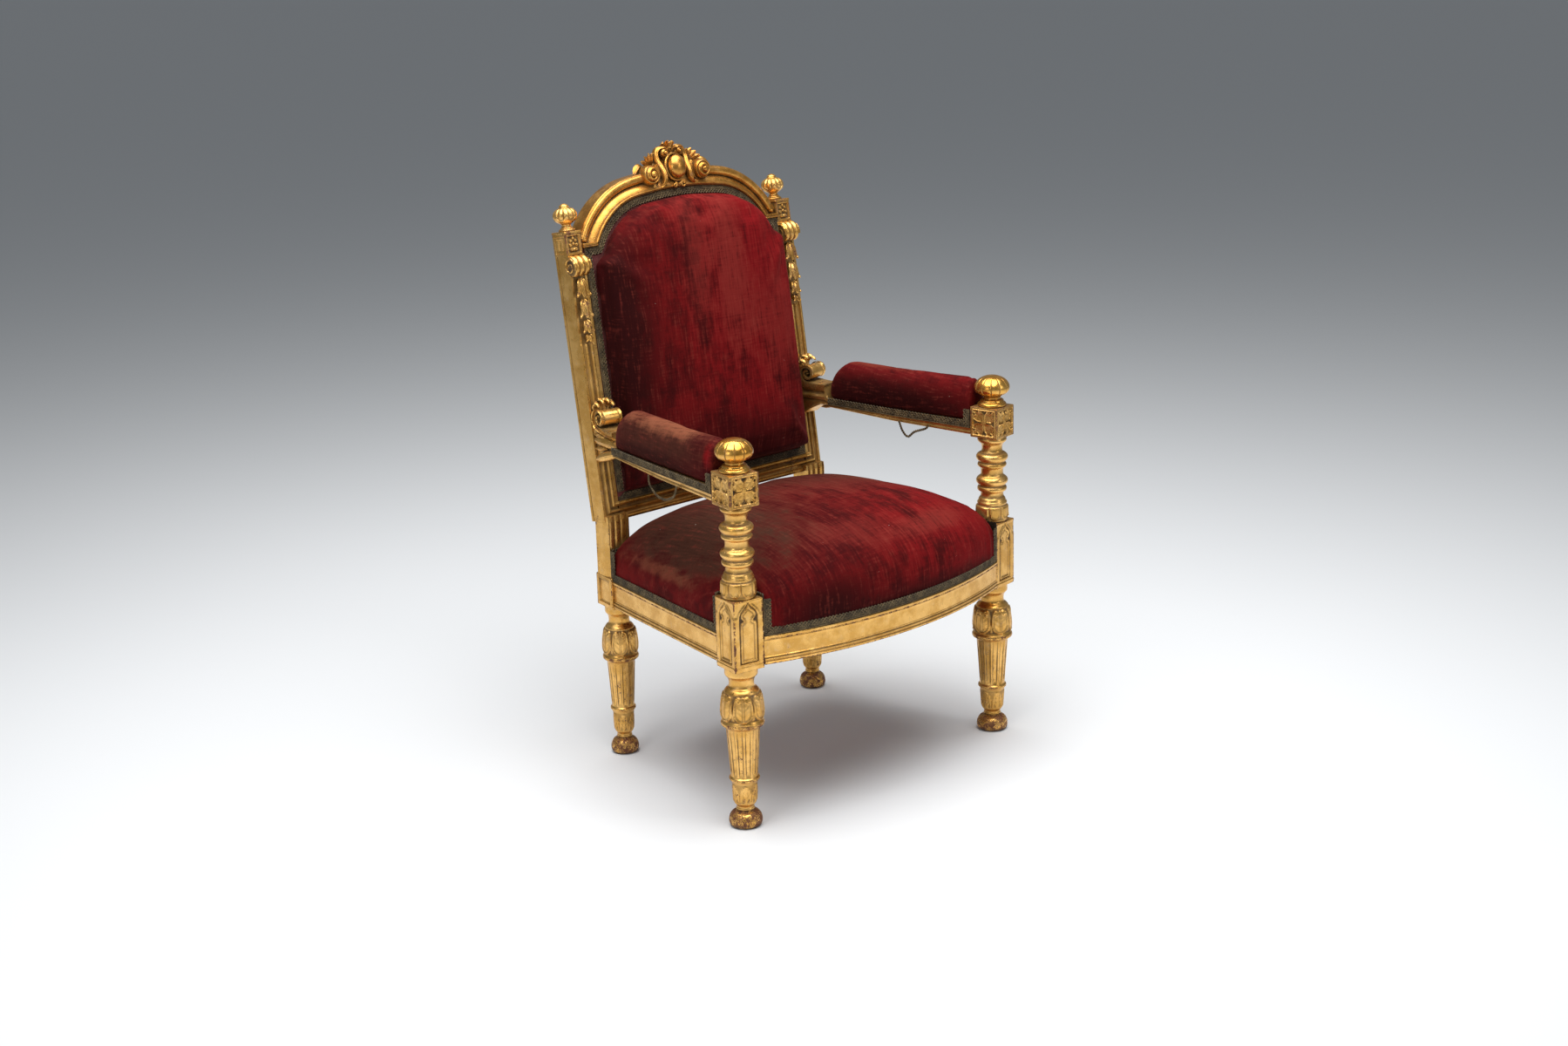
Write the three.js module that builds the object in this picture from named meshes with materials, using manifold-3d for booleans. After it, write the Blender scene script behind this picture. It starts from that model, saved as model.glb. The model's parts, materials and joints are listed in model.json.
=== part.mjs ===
// A carved and gilded throne armchair with velvet upholstery: turned front posts, raked rear
// posts, an arched back rail with a carved crest, and padded seat, back and arms.
// Millimetres, +Z up, the sitter faces -Y, the origin is on the floor under the middle.

import * as THREE from "three";
import { mergeVertices } from "three/addons/utils/BufferGeometryUtils.js";
import Module from "manifold-3d";

const wasm = await Module();
wasm.setup();

// ---- Driving dimensions ----

const GAP = 0.3; // play between two pieces that touch

// Where the four posts stand.
const FRONT_X = 312;
const FRONT_Y = -221;
const REAR_X = 240;
const REAR_Y = 194;
const POST_TURN = THREE.MathUtils.degToRad(9); // the square parts face a little outwards
const REAR_SLIMMER = 0.885; // the rear legs are turned to the same pattern, slimmer

// Front posts.
const BLOCK_HALF = 29;
const BLOCK_Z = [285, 408];
const CUBE_HALF = 28.5;
const CUBE_Z = [566, 622];
const SUNK = 2.5; // depth of the sunk panels
const TURNED_SIDES = 12;
const FLUTES = 12;
const FLUTE_DEPTH = 1.8;
const FLUTE_Z = [92.5, 176];

// Rear posts and the raked back. The back plane is the front face of the stiles.
const REAR_BLOCK_HALF = 27.5;
const REAR_BLOCK_Z = [286, 345];
const RAKE = THREE.MathUtils.degToRad(8.17);
const PIVOT_Y = 208;
const PIVOT_Z = 608;
const STILE_X = [232, 268.3]; // inner and outer face
const STILE_FOOT_X = 221; // inner face below the lower rail
const STILE_DEPTH = 39;
const STILE_FOOT_Y = 176;
const STILE_LEAN_UP = -162; // up the back plane, where the rake begins
const CAP_UP = 316; // underside of the top block
const TOP_UP = 358;
const TOP_BLOCK_INNER_X = 234;
const CAP_R = 19.5;

// Back rails. The arch has three centres: a flat crown and rounder haunches.
const ARCH_TOP_UP = 444.5;
const ARCH_WIDE = 36;
const ARCH_REAR_Y = 38;
const ARCH_ROLL_R = 8.5;
const ARCH_ROLL_Y = 9; // depth of the roll's middle
const ARCH_STEPS = 16;
const HAUNCH_R = 173.3;
const HAUNCH_X = 79;
const HAUNCH_UP = 265.3;
const SHOULDER_UP = 326;
const SHOULDER_X = 202;
const SHOULDER_Y = [-4, 38];
const LOW_RAIL_UP = [-161, -131.5];
const LOW_RAIL_DEPTH = 30;

// Crest.
const CREST_UP = 448; // the level that the crest is set out from
const BOSS = [18.5, 13, 21.5]; // half axes of the oval boss
const CREST_SEAT_Y = 12; // the crest's parts are rooted this far behind the back plane
const CREST_FRONT_Y = -7;
const SIDE_VOLUTE_X = 60.5;
const UPPER_VOLUTE_X = 19;

// Seat rails.
const RAIL_Z = [290, 339];
const RAIL_OUT = 25; // outer face, measured out from the line of the post axes
const RAIL_THICK = 26;
const FRONT_RAIL_REACH = -309; // the middle of the bowed front
const FRONT_RAIL_R = 811;
const REAR_RAIL_Z = [286, 339];

// Arms, measured along each arm from the axis of its front post.
const ARM_END_X = 246; // where an arm's middle meets its stile
const BAR_HALF = 28;
const BAR_TOP_Z = 594;
const BAR_Z = 569.5;
const WRIST_S = 352; // behind the pad the arm is bare carved wood
const WRIST_HALF = 20;
const WRIST_TOP_Z = 620;
const SCROLL_S = 409;
const SCROLL_Z = 637;
const SCROLL_R = 17;
const PAD_S = [33, 360];
const PAD_TOP_Z = 670;

// Upholstery.
const SEAT_INSET = 3; // the seat pad stands this far inside the outer face of the rails
const SEAT_REAR_Y = 190;
const SEAT_EDGE_Z = 388;
const SEAT_CROWN = 100;
const BACK_PAD_X = 216;
const BACK_PAD_UP = [-115, 300];
const BACK_PAD_INSET = 52; // in from the arch's outer edge
const BACK_PAD_SHOULDER_X = 190;
const BACK_PAD_EDGE = 50; // the wall of the padding, out from the back plane
const BACK_PAD_COLUMNS = 10;
const BACK_PAD_CROWN = 10; // what the middle adds to it
const BACK_PAD_GROUND = 30; // how deep the ground behind the padding goes
const GIMP_THICK = 2;
const GIMP_WIDE = 15;
const CORD_R = 1.7; // a loose edge cord of the braid
const CORD_SIDES = 8;
const CORD_STEPS = 9;
// The slack cords' routes: along the arm from its front post, and height.
const LEFT_CORD = [[223, 576], [219, 559], [197, 545], [172, 543], [155, 548], [139, 557], [131, 575]];
const RIGHT_CORD = [[184, 576], [176, 558], [164, 549], [149, 560], [125, 569], [118, 576]];

// ---- Materials ----

const gilt = new THREE.MeshStandardMaterial({ color: 0xc8963c, roughness: 0.38, metalness: 0.85 });
const burnished = new THREE.MeshStandardMaterial({ color: 0xd8942e, roughness: 0.25, metalness: 0.9 });
const velvet = new THREE.MeshStandardMaterial({ color: 0x7a1418, roughness: 0.9, metalness: 0 });
const braid = new THREE.MeshStandardMaterial({ color: 0x5a5138, roughness: 0.75, metalness: 0.2 });

// ---- Solids: small helpers ----

// A three.js geometry as a manifold solid, turned the right way out.
function solid(geometry) {
  const bare = geometry.index ? geometry.toNonIndexed() : geometry.clone();
  bare.deleteAttribute("normal");
  bare.deleteAttribute("uv");
  const merged = mergeVertices(bare, 1e-3);
  const position = merged.attributes.position;
  const index = merged.index.array;
  const a = new THREE.Vector3();
  const b = new THREE.Vector3();
  const c = new THREE.Vector3();
  let volume = 0;
  for (let i = 0; i < index.length; i += 3) {
    a.fromBufferAttribute(position, index[i]);
    b.fromBufferAttribute(position, index[i + 1]);
    c.fromBufferAttribute(position, index[i + 2]);
    volume += a.dot(b.cross(c));
  }
  const triVerts = new Uint32Array(index);
  if (volume < 0) triVerts.reverse();
  const vertProperties = new Float32Array(position.array);
  return new wasm.Manifold(new wasm.Mesh({ numProp: 3, vertProperties, triVerts }));
}

function join(solids) {
  return solids.reduce((whole, piece) => whole.add(piece));
}

// A manifold solid as a named mesh.
function piece(name, body, material) {
  const mesh = body.getMesh();
  const geometry = new THREE.BufferGeometry();
  geometry.setAttribute("position", new THREE.BufferAttribute(mesh.vertProperties, 3));
  geometry.setIndex(new THREE.BufferAttribute(mesh.triVerts, 1));
  geometry.computeVertexNormals();
  const made = new THREE.Mesh(geometry, material);
  made.name = name;
  return made;
}

// The same geometry on the other side of the chair.
function mirrored(name, original) {
  const geometry = original.geometry.clone();
  geometry.scale(-1, 1, 1);
  geometry.index.array.reverse();
  geometry.computeVertexNormals();
  const made = new THREE.Mesh(geometry, original.material);
  made.name = name;
  made.position.set(-original.position.x, original.position.y, original.position.z);
  made.rotation.set(original.rotation.x, -original.rotation.y, -original.rotation.z);
  return made;
}

function box(x, y, z) {
  const geometry = new THREE.BoxGeometry(x[1] - x[0], y[1] - y[0], z[1] - z[0]);
  geometry.translate((x[0] + x[1]) / 2, (y[0] + y[1]) / 2, (z[0] + z[1]) / 2);
  return geometry;
}

// A profile of [radius, height] points turned about the vertical.
function turned(profile, sides, from = 0) {
  const points = profile.map(([r, z]) => new THREE.Vector2(r, z));
  const geometry = new THREE.LatheGeometry(points, sides, from);
  geometry.rotateX(Math.PI / 2);
  return geometry;
}

// An outline of [across, up] points, pushed along +Y from y0 to y1.
function slab(outline, y0, y1) {
  const shape = new THREE.Shape(outline.map(([x, z]) => new THREE.Vector2(x, z)));
  const geometry = new THREE.ExtrudeGeometry(shape, { depth: y1 - y0, bevelEnabled: false });
  geometry.rotateX(Math.PI / 2);
  geometry.translate(0, y1, 0);
  return geometry;
}

// An outline of [y, z] points, pushed along +X from x0 to x1.
function plank(outline, x0, x1) {
  const shape = new THREE.Shape(outline.map(([y, z]) => new THREE.Vector2(y, z)));
  const geometry = new THREE.ExtrudeGeometry(shape, { depth: x1 - x0, bevelEnabled: false });
  geometry.rotateX(Math.PI / 2);
  geometry.rotateZ(Math.PI / 2);
  geometry.translate(x0, 0, 0);
  return geometry;
}

// Points on an arc from angle a0 to a1, measured from +X towards the second axis.
function arc(centre, radius, a0, a1, steps) {
  return Array.from({ length: steps + 1 }, (_, i) => {
    const a = a0 + ((a1 - a0) * i) / steps;
    return [centre[0] + radius * Math.cos(a), centre[1] + radius * Math.sin(a)];
  });
}

// A geometry placed in the frame of the raked back: across, behind the back plane, up it.
function onBack(geometry) {
  geometry.rotateX(-RAKE);
  geometry.translate(0, PIVOT_Y, PIVOT_Z);
  return geometry;
}

// The front face of the back plane at height z.
function backPlaneY(z) {
  return PIVOT_Y + (z - PIVOT_Z) * Math.tan(RAKE);
}

// ---- Turned work ----

// Shrinks every other meridian of a turned shape between two heights, so that what is
// left between them stands out as flute fillets, tongue leaves or gores.
function pinched(geometry, lobes, shrink, from, to) {
  const position = geometry.attributes.position;
  const step = (Math.PI * 2) / lobes;
  for (let i = 0; i < position.count; i++) {
    const z = position.getZ(i);
    if (z < from || z > to) continue;
    const x = position.getX(i);
    const y = position.getY(i);
    const turn = Math.atan2(y, x) / step;
    if (Math.abs(turn - Math.round(turn)) < 0.25) position.setXY(i, x * shrink, y * shrink);
  }
  return geometry;
}

function scaled(profile, slim) {
  return profile.map(([r, z]) => [r * slim, z]);
}

// The leg under a square block: bun foot and cup, fluted shaft, collar and tongue-leaf bulb.
function leg(slim, topZ) {
  const [low, high] = FLUTE_Z;
  const cup = [
    [0, 0], [24, 0], [28.7, 7], [28, 17], [14, 29], [14.5, 36], [19.6, 43], [22.3, 80],
    [25.9, 84], [25.9, 89], [24, low], [0, low],
  ];
  const bulb = [
    [0, high], [30, high], [30, 181], [36.7, 185], [36.7, 191], [34.5, 195], [36.3, 203],
    [34.5, 226], [29, 245], [21.5, 252], [21, 261], [28.3, 274], [28.3, topZ], [0, topZ],
  ];
  const shaft = [[0, low - 3], [22.5, low - 3], [28.6, high + 2], [0, high + 2]];
  const fluteShrink = 1 - FLUTE_DEPTH / 26;
  const tongues = TURNED_SIDES / 2;
  return join([
    solid(turned(scaled(cup, slim), TURNED_SIDES)),
    solid(pinched(turned(scaled(shaft, slim), FLUTES * 2), FLUTES, fluteShrink, low - 3, high + 2)),
    solid(pinched(turned(scaled(bulb, slim), TURNED_SIDES), tongues, 0.95, 196, 244)),
  ]);
}

// The baluster between the block and the arm cube: drum, rings, and two torus-and-fillet pairs.
function baluster() {
  const profile = [
    [0, BLOCK_Z[1] - 1], [26, BLOCK_Z[1] - 1], [29.5, 412], [29.6, 435], [25.3, 443], [20.8, 457],
    [26.4, 466], [26.4, 472], [28.8, 484], [20.1, 494], [20.1, 505], [26, 510], [26, 516],
    [28.8, 528], [18.4, 538], [18.4, 548], [26, 559], [26, CUBE_Z[0] + 1], [0, CUBE_Z[0] + 1],
  ];
  return solid(turned(profile, TURNED_SIDES));
}

// ---- Front posts ----

// The sunk panel on a face of the front block: a cusped arch with a round head.
function blockPanelOutline() {
  const half = 17;
  const lobe = 9;
  const foot = BLOCK_Z[0] + 12;
  const spring = BLOCK_Z[1] - 34;
  return [
    [-half, foot], [half, foot], [half, spring], [lobe + 1, spring + 5],
    ...arc([0, spring + 12], lobe, -0.1, Math.PI + 0.1, 5),
    [-lobe - 1, spring + 5], [-half, spring],
  ];
}

// A rectangle in from the edges of a square part's face.
function framedOutline(half, [low, high], rim) {
  const side = half - rim;
  return [[-side, low + rim], [side, low + rim], [side, high - rim], [-side, high - rim]];
}

// A square part with an outline sunk into its front face and the sides named in turns.
function sunkBlock(half, height, outline, quarterTurns) {
  return quarterTurns.reduce((body, turn) => {
    const cutter = slab(outline, -half - 1, -half + SUNK);
    cutter.rotateZ((turn * Math.PI) / 2);
    return body.subtract(solid(cutter));
  }, solid(box([-half, half], [-half, half], height)));
}

function frontPost() {
  const block = sunkBlock(BLOCK_HALF, BLOCK_Z, blockPanelOutline(), [0, 1]);
  const cube = sunkBlock(CUBE_HALF, CUBE_Z, framedOutline(CUBE_HALF, CUBE_Z, 7), [-1, 0, 1]);
  return join([leg(1, BLOCK_Z[0] + 1), block, baluster(), cube]);
}

// ---- Finials ----

// A moulded foot with a ribbed melon of gores on it, made at z = 0.
function armFinial() {
  const foot = [
    [0, 0], [25.5, 0], [26.1, 4], [20, 11], [15.5, 13.5], [17, 17], [0, 17],
  ];
  const gores = [[0, 15], [16, 15], [27, 22], [32.2, 31], [30.5, 41], [21, 51], [0, 56]];
  const melon = pinched(turned(gores, FLUTES * 2), FLUTES, 0.965, 15, 54);
  return solid(turned(foot, TURNED_SIDES)).add(solid(melon)).translate([0, 0, CUBE_Z[1] + GAP]);
}

function backFinial() {
  const gores = 8;
  const stand = [[0, 0], [14.5, 0], [14.5, 3], [8, 11], [13, 15], [0, 15]];
  const globe = [[0, 13.5], [12, 13.5], [19.5, 20], [21.5, 27], [18.5, 35], [0, 42]];
  const tip = [[0, 37], [7.5, 39], [0, 49]];
  return join([
    solid(turned(stand, gores)),
    solid(pinched(turned(globe, gores * 2), gores, 0.93, 13.5, 36)),
    solid(turned(tip, 6)),
  ]);
}

// ---- Rear posts: leg, block, raked stile and top block in one piece ----

// The reeded console under the top block: three rolls side by side, bulging forwards.
function stileCap() {
  const reeds = 3;
  const reed = (STILE_X[1] - TOP_BLOCK_INNER_X - 2) / reeds;
  const groove = 2.6;
  const profile = [[0, 0], [CAP_R - groove, 0]];
  for (let i = 0; i < reeds; i++) {
    profile.push([CAP_R, (i + 0.5) * reed], [CAP_R - groove, (i + 1) * reed]);
  }
  profile.push([0, reeds * reed]);
  const geometry = turned(profile, 8);
  geometry.rotateY(Math.PI / 2);
  geometry.translate(TOP_BLOCK_INNER_X + 1, -1, CAP_UP - CAP_R - 1);
  return solid(onBack(geometry));
}

// The garland down the stile: four husks, each smaller than the one above.
function husks() {
  const middle = (STILE_X[0] + STILE_X[1]) / 2;
  const lengths = [36, 36, 23, 13];
  let top = CAP_UP - 41;
  return lengths.map((length, i) => {
    const wide = 13 - i * 2;
    const waist = wide * 0.62;
    const profile = [[0, -length], [wide, 1 - length], [waist, -length / 2], [waist, -2], [0, 0]];
    const geometry = turned(profile, 6);
    geometry.scale(1, 0.75, 1);
    geometry.translate(middle, -1, top);
    top -= length + 1.5;
    return solid(onBack(geometry));
  });
}

// A point of the back as [y, z], from its depth behind the back plane and height up it.
function backPoint(depth, up) {
  return [
    PIVOT_Y + depth * Math.cos(RAKE) + up * Math.sin(RAKE),
    PIVOT_Z - depth * Math.sin(RAKE) + up * Math.cos(RAKE),
  ];
}

// The stile: upright and broad as far as the lower rail, then narrower and raked.
function stile() {
  const footZ = REAR_BLOCK_Z[1] - 1;
  const lean = [backPoint(0, STILE_LEAN_UP), backPoint(STILE_DEPTH, STILE_LEAN_UP)];
  const cap = [backPoint(STILE_DEPTH, CAP_UP), backPoint(0, CAP_UP)];
  const foot = [[STILE_FOOT_Y + STILE_DEPTH, footZ], [STILE_FOOT_Y, footZ]];
  const top = onBack(box([TOP_BLOCK_INNER_X, STILE_X[1]], [0, STILE_DEPTH], [CAP_UP - 8, TOP_UP]));
  return join([
    solid(plank([...lean, ...foot], STILE_FOOT_X, STILE_X[1])),
    solid(plank([...lean, ...cap], ...STILE_X)),
    solid(top),
  ]);
}

function rearPost() {
  const panel = framedOutline(REAR_BLOCK_HALF, REAR_BLOCK_Z, 9);
  const block = sunkBlock(REAR_BLOCK_HALF, REAR_BLOCK_Z, panel, [1]);
  const turnOut = new THREE.Matrix4().makeRotationZ(POST_TURN);
  turnOut.setPosition(REAR_X, REAR_Y, 0);
  const turnedPart = leg(REAR_SLIMMER, REAR_BLOCK_Z[0] + 1).add(block).transform(turnOut.elements);
  return join([turnedPart, stile(), stileCap(), ...husks()]);
}

// ---- Seat rails ----

// The depth of the bowed front at a distance x from the middle.
function bowY(x, inset) {
  const radius = FRONT_RAIL_R - inset;
  return FRONT_RAIL_REACH + FRONT_RAIL_R - Math.sqrt(radius * radius - x * x);
}

// The cross-section of a rail, as [inset from the outer face, height] points.
function railSection() {
  return [
    [0, RAIL_Z[0]], [0.4, RAIL_Z[0] + 5], [2.5, RAIL_Z[0] + 8], [2.5, RAIL_Z[1] - 7],
    [0, RAIL_Z[1] - 3.5], [0.6, RAIL_Z[1]], [RAIL_THICK, RAIL_Z[1]], [RAIL_THICK, RAIL_Z[0]],
  ];
}

function frontRail() {
  const points = railSection().map(([inset, z]) => new THREE.Vector2(FRONT_RAIL_R - inset, z));
  points.push(points[0].clone());
  const ring = new THREE.LatheGeometry(points, 80);
  ring.rotateX(Math.PI / 2);
  ring.translate(0, FRONT_RAIL_REACH + FRONT_RAIL_R, 0);
  const keep = solid(
    box([-FRONT_X, FRONT_X], [FRONT_RAIL_REACH - 5, FRONT_Y + 2], [RAIL_Z[0] - 5, RAIL_Z[1] + 5]));
  return largest(trimmed(solid(ring).intersect(keep)));
}

// The volume of the four posts' squared parts with play around them, cut from what meets them.
function postSpace(extra) {
  const made = [];
  for (const side of [-1, 1]) {
    const front = box(
      [-BLOCK_HALF - extra, BLOCK_HALF + extra], [-BLOCK_HALF - extra, BLOCK_HALF + extra], [200, 700]);
    front.rotateZ(side * POST_TURN);
    front.translate(side * FRONT_X, FRONT_Y, 0);
    made.push(solid(front));
    const rear = box(
      [-REAR_BLOCK_HALF - extra, REAR_BLOCK_HALF + extra],
      [-REAR_BLOCK_HALF - extra, REAR_BLOCK_HALF + extra], [200, REAR_BLOCK_Z[1] + extra]);
    rear.rotateZ(side * POST_TURN);
    rear.translate(side * REAR_X, REAR_Y, 0);
    made.push(solid(rear));
  }
  return join(made);
}

function trimmed(body) {
  return body.subtract(postSpace(GAP));
}

// A side rail, made between the post axes and cut back to the blocks.
function sideRail() {
  const run = Math.hypot(FRONT_X - REAR_X, REAR_Y - FRONT_Y);
  const flare = Math.atan2(FRONT_X - REAR_X, REAR_Y - FRONT_Y);
  const section = railSection().map(([inset, z]) => [RAIL_OUT - inset, z]);
  const geometry = slab(section, 0, run);
  geometry.rotateZ(flare);
  geometry.translate(FRONT_X, FRONT_Y, 0);
  return largest(trimmed(solid(geometry)));
}

// Keeps the biggest of the bodies that a cut leaves.
function largest(body) {
  return body.decompose().reduce((best, part) => (part.volume() > best.volume() ? part : best));
}

function rearRail() {
  const bar = solid(box([-REAR_X, REAR_X], [REAR_Y - 2, REAR_Y + 22], REAR_RAIL_Z));
  return largest(trimmed(bar));
}

// ---- Back rails and crest ----

// The crown's radius, from the heights and the haunches that it runs into.
const haunchDrop = ARCH_TOP_UP - HAUNCH_UP;
const CROWN_R = (haunchDrop ** 2 + HAUNCH_X ** 2 - HAUNCH_R ** 2) / (2 * (haunchDrop - HAUNCH_R));
const CROWN_UP = ARCH_TOP_UP - CROWN_R;
const CROWN_SPREAD = Math.atan2(HAUNCH_X, HAUNCH_UP - CROWN_UP);

// Points along the arch from right to left, a distance in from its outer edge.
// The foot is the angle at which a haunch starts above the level of its centre.
function archLine(inset, foot, steps) {
  const right = Math.PI / 2 - CROWN_SPREAD;
  const left = Math.PI / 2 + CROWN_SPREAD;
  const haunchR = HAUNCH_R - inset;
  return [
    ...arc([HAUNCH_X, HAUNCH_UP], haunchR, foot, right, steps),
    ...arc([0, CROWN_UP], CROWN_R - inset, right, left, steps).slice(1, -1),
    ...arc([-HAUNCH_X, HAUNCH_UP], haunchR, left, Math.PI - foot, steps),
  ];
}

// The height of that line over a place across the back.
function archUp(x, inset) {
  const across = Math.abs(x);
  const crownR = CROWN_R - inset;
  if (across < crownR * Math.sin(CROWN_SPREAD)) return CROWN_UP + Math.sqrt(crownR ** 2 - across ** 2);
  return HAUNCH_UP + Math.sqrt((HAUNCH_R - inset) ** 2 - (across - HAUNCH_X) ** 2);
}

// The section of the arched rail as [out from its middle line, depth]: an outer roll,
// a hollow, and an inner bead that stands forward. With play, it is the room it needs.
function archSection(play) {
  const half = ARCH_WIDE / 2;
  const bead = 4 - half + play;
  return [
    [half + play, ARCH_REAR_Y - 20],
    ...arc([half - ARCH_ROLL_R, ARCH_ROLL_Y], ARCH_ROLL_R + play, 0, (-Math.PI * 2) / 3, 2),
    [half - 2 * ARCH_ROLL_R, ARCH_ROLL_Y - 2 * play],
    [bead + 2, -play], [bead, -5 - play], [-half - play, -4 - play], [-half - play, ARCH_REAR_Y + play],
    [half - 10, ARCH_REAR_Y + play],
  ];
}

// The arched rail swept along its middle line, in the back's own frame.
function archSweep(play) {
  const line = archLine(ARCH_WIDE / 2, 0.1, 8);
  const path = new THREE.CatmullRomCurve3(line.map(([x, up]) => new THREE.Vector3(x, 0, up)));
  const section = new THREE.Shape(
    archSection(play).map(([out, depth]) => new THREE.Vector2(-depth, out)));
  return solid(new THREE.ExtrudeGeometry(
    section, { steps: ARCH_STEPS, extrudePath: path, bevelEnabled: false }));
}

// The blocks at the ends of the arch, where its inner edge turns out to the posts.
function shoulders(play) {
  const reach = TOP_BLOCK_INNER_X - GAP + play;
  const depth = [SHOULDER_Y[0] - play, SHOULDER_Y[1] + play];
  return [-1, 1].map((side) => {
    const x = side < 0 ? [-reach, play - SHOULDER_X] : [SHOULDER_X - play, reach];
    return solid(box(x, depth, [SHOULDER_UP - play, SHOULDER_UP + 16]));
  });
}

// The arched rail above the springing, with its shoulders.
function arch(play) {
  const reach = TOP_BLOCK_INNER_X - GAP + play;
  const window = solid(box([-reach, reach], [-40, 80], [SHOULDER_UP - play, 500]));
  return join([archSweep(play).intersect(window), ...shoulders(play)]);
}

// A solid made in the back's own frame, leaned back into place.
function placedOnBack(body) {
  const lean = new THREE.Matrix4().makeRotationX(-RAKE);
  lean.setPosition(0, PIVOT_Y, PIVOT_Z);
  return body.transform(lean.elements);
}

// A scroll seen end on: a disc with a raised eye, facing forwards.
function volute(x, up, radius, sides) {
  const depth = CREST_SEAT_Y - CREST_FRONT_Y;
  const profile = [[0, 0], [radius, 0], [radius, depth - 3], [radius * 0.7, depth], [0, depth - 3]];
  const geometry = turned(profile, sides);
  geometry.rotateX(Math.PI / 2);
  geometry.translate(x, CREST_SEAT_Y, up);
  return solid(geometry);
}

// The S-shaped stem that runs from the upper volute down the side of the boss to its hook.
function crestStem(side, top) {
  const curve = new THREE.CatmullRomCurve3([
    new THREE.Vector3(side * 24, 4, top + 31), new THREE.Vector3(side * 38, 5, top + 18),
    new THREE.Vector3(side * 33, 0, top - 4), new THREE.Vector3(side * 30, -3, top - 24),
    new THREE.Vector3(side * 38, 2, top - 37),
  ]);
  const corners = arc([0, 0], 4.5, 0, (Math.PI * 3) / 2, 3);
  const section = new THREE.Shape(corners.map(([x, y]) => new THREE.Vector2(x, y)));
  return solid(new THREE.ExtrudeGeometry(
    section, { steps: 4, extrudePath: curve, bevelEnabled: false }));
}

// A plump leaf rooted at a point of the back's frame and tilted across it.
function crestLeaf(x, y, up, tilt, halfWidth, halfLength) {
  const leaf = new THREE.SphereGeometry(1, 6, 3);
  leaf.scale(halfWidth, 7, halfLength);
  leaf.translate(0, 0, halfLength * 0.85);
  leaf.rotateY(tilt);
  leaf.translate(x, y, up);
  return solid(leaf);
}

// The crest: an oval boss between S-scrolls, with side volutes and a fan of leaves on top.
function crest() {
  const top = CREST_UP;
  const boss = new THREE.SphereGeometry(1, 8, 5);
  boss.scale(...BOSS);
  boss.translate(0, -5, top - 3);
  const plate = slab([
    [-40, top - 38], [40, top - 38], [64, top - 24], [70, top - 8], [44, top + 12], [26, top + 28],
    [-26, top + 28], [-44, top + 12], [-70, top - 8], [-64, top - 24],
  ], -1, ARCH_REAR_Y - 12);
  const parts = [solid(boss), solid(plate), volute(0, top - 39, 7, 6)];
  for (const side of [-1, 1]) {
    parts.push(volute(side * SIDE_VOLUTE_X, top - 12, 17, 10));
    parts.push(volute(side * UPPER_VOLUTE_X, top + 25, 9, 6));
    parts.push(volute(side * 41, top - 37, 6, 5));
    parts.push(crestStem(side, top));
    parts.push(crestLeaf(side * 42, 14, top + 4, side * 0.8, 9, 13));
    parts.push(crestLeaf(side * 74, 8, top - 12, side * 1.35, 6, 12));
  }
  const leaves = 5;
  for (let i = 0; i < leaves; i++) {
    parts.push(crestLeaf(0, 20, top + 15, ((i - (leaves - 1) / 2) * Math.PI) / 6, 7.5, 17));
  }
  const below = solid(slab(backOutline(STILE_X[0] - BACK_PAD_X), -3 * GAP - GIMP_THICK, ARCH_REAR_Y));
  return placedOnBack(largest(join(parts).subtract(archSweep(GAP)).subtract(below)));
}

function lowRail() {
  const [low, high] = LOW_RAIL_UP;
  const section = [
    [0, low], [LOW_RAIL_DEPTH, low], [LOW_RAIL_DEPTH, high], [4, high], [4, high - 5],
    [1.5, high - 8], [1.5, high - 13], [3, high - 15], [1, high - 19], [-1, low + 7],
  ];
  const reach = STILE_X[0] - GAP;
  return solid(onBack(plank(section, -reach, reach)));
}

// ---- Arms, each in its own frame: along +Y from the axis of its front post ----

const ARM_RUN = backPlaneY(WRIST_TOP_Z) - FRONT_Y;
const ARM_TURN = Math.atan2(FRONT_X - ARM_END_X, ARM_RUN);

// A solid made in the arm's frame, set out from the right-hand post towards its stile.
function placedOnArm(body) {
  const turn = new THREE.Matrix4().makeRotationZ(ARM_TURN);
  turn.setPosition(FRONT_X, FRONT_Y, 0);
  return body.transform(turn.elements);
}

// A scroll across the arm, as broad as the wrist.
function armScroll() {
  const profile = [
    [0, -WRIST_HALF], [SCROLL_R / 2, -WRIST_HALF], [SCROLL_R, 3 - WRIST_HALF],
    [SCROLL_R, WRIST_HALF - 3], [SCROLL_R / 2, WRIST_HALF], [0, WRIST_HALF],
  ];
  const geometry = turned(profile, 12);
  geometry.rotateY(Math.PI / 2);
  geometry.translate(0, SCROLL_S, SCROLL_Z);
  return solid(geometry);
}

// A leaf on the outer cheek of the wrist, pointing back towards the stile.
function cheekLeaf(s, z, halfHeight) {
  const leaf = new THREE.SphereGeometry(1, 6, 3);
  leaf.scale(8, 36, halfHeight);
  leaf.rotateX(-0.12);
  leaf.translate(WRIST_HALF - 1, s, z);
  return solid(leaf);
}

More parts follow.
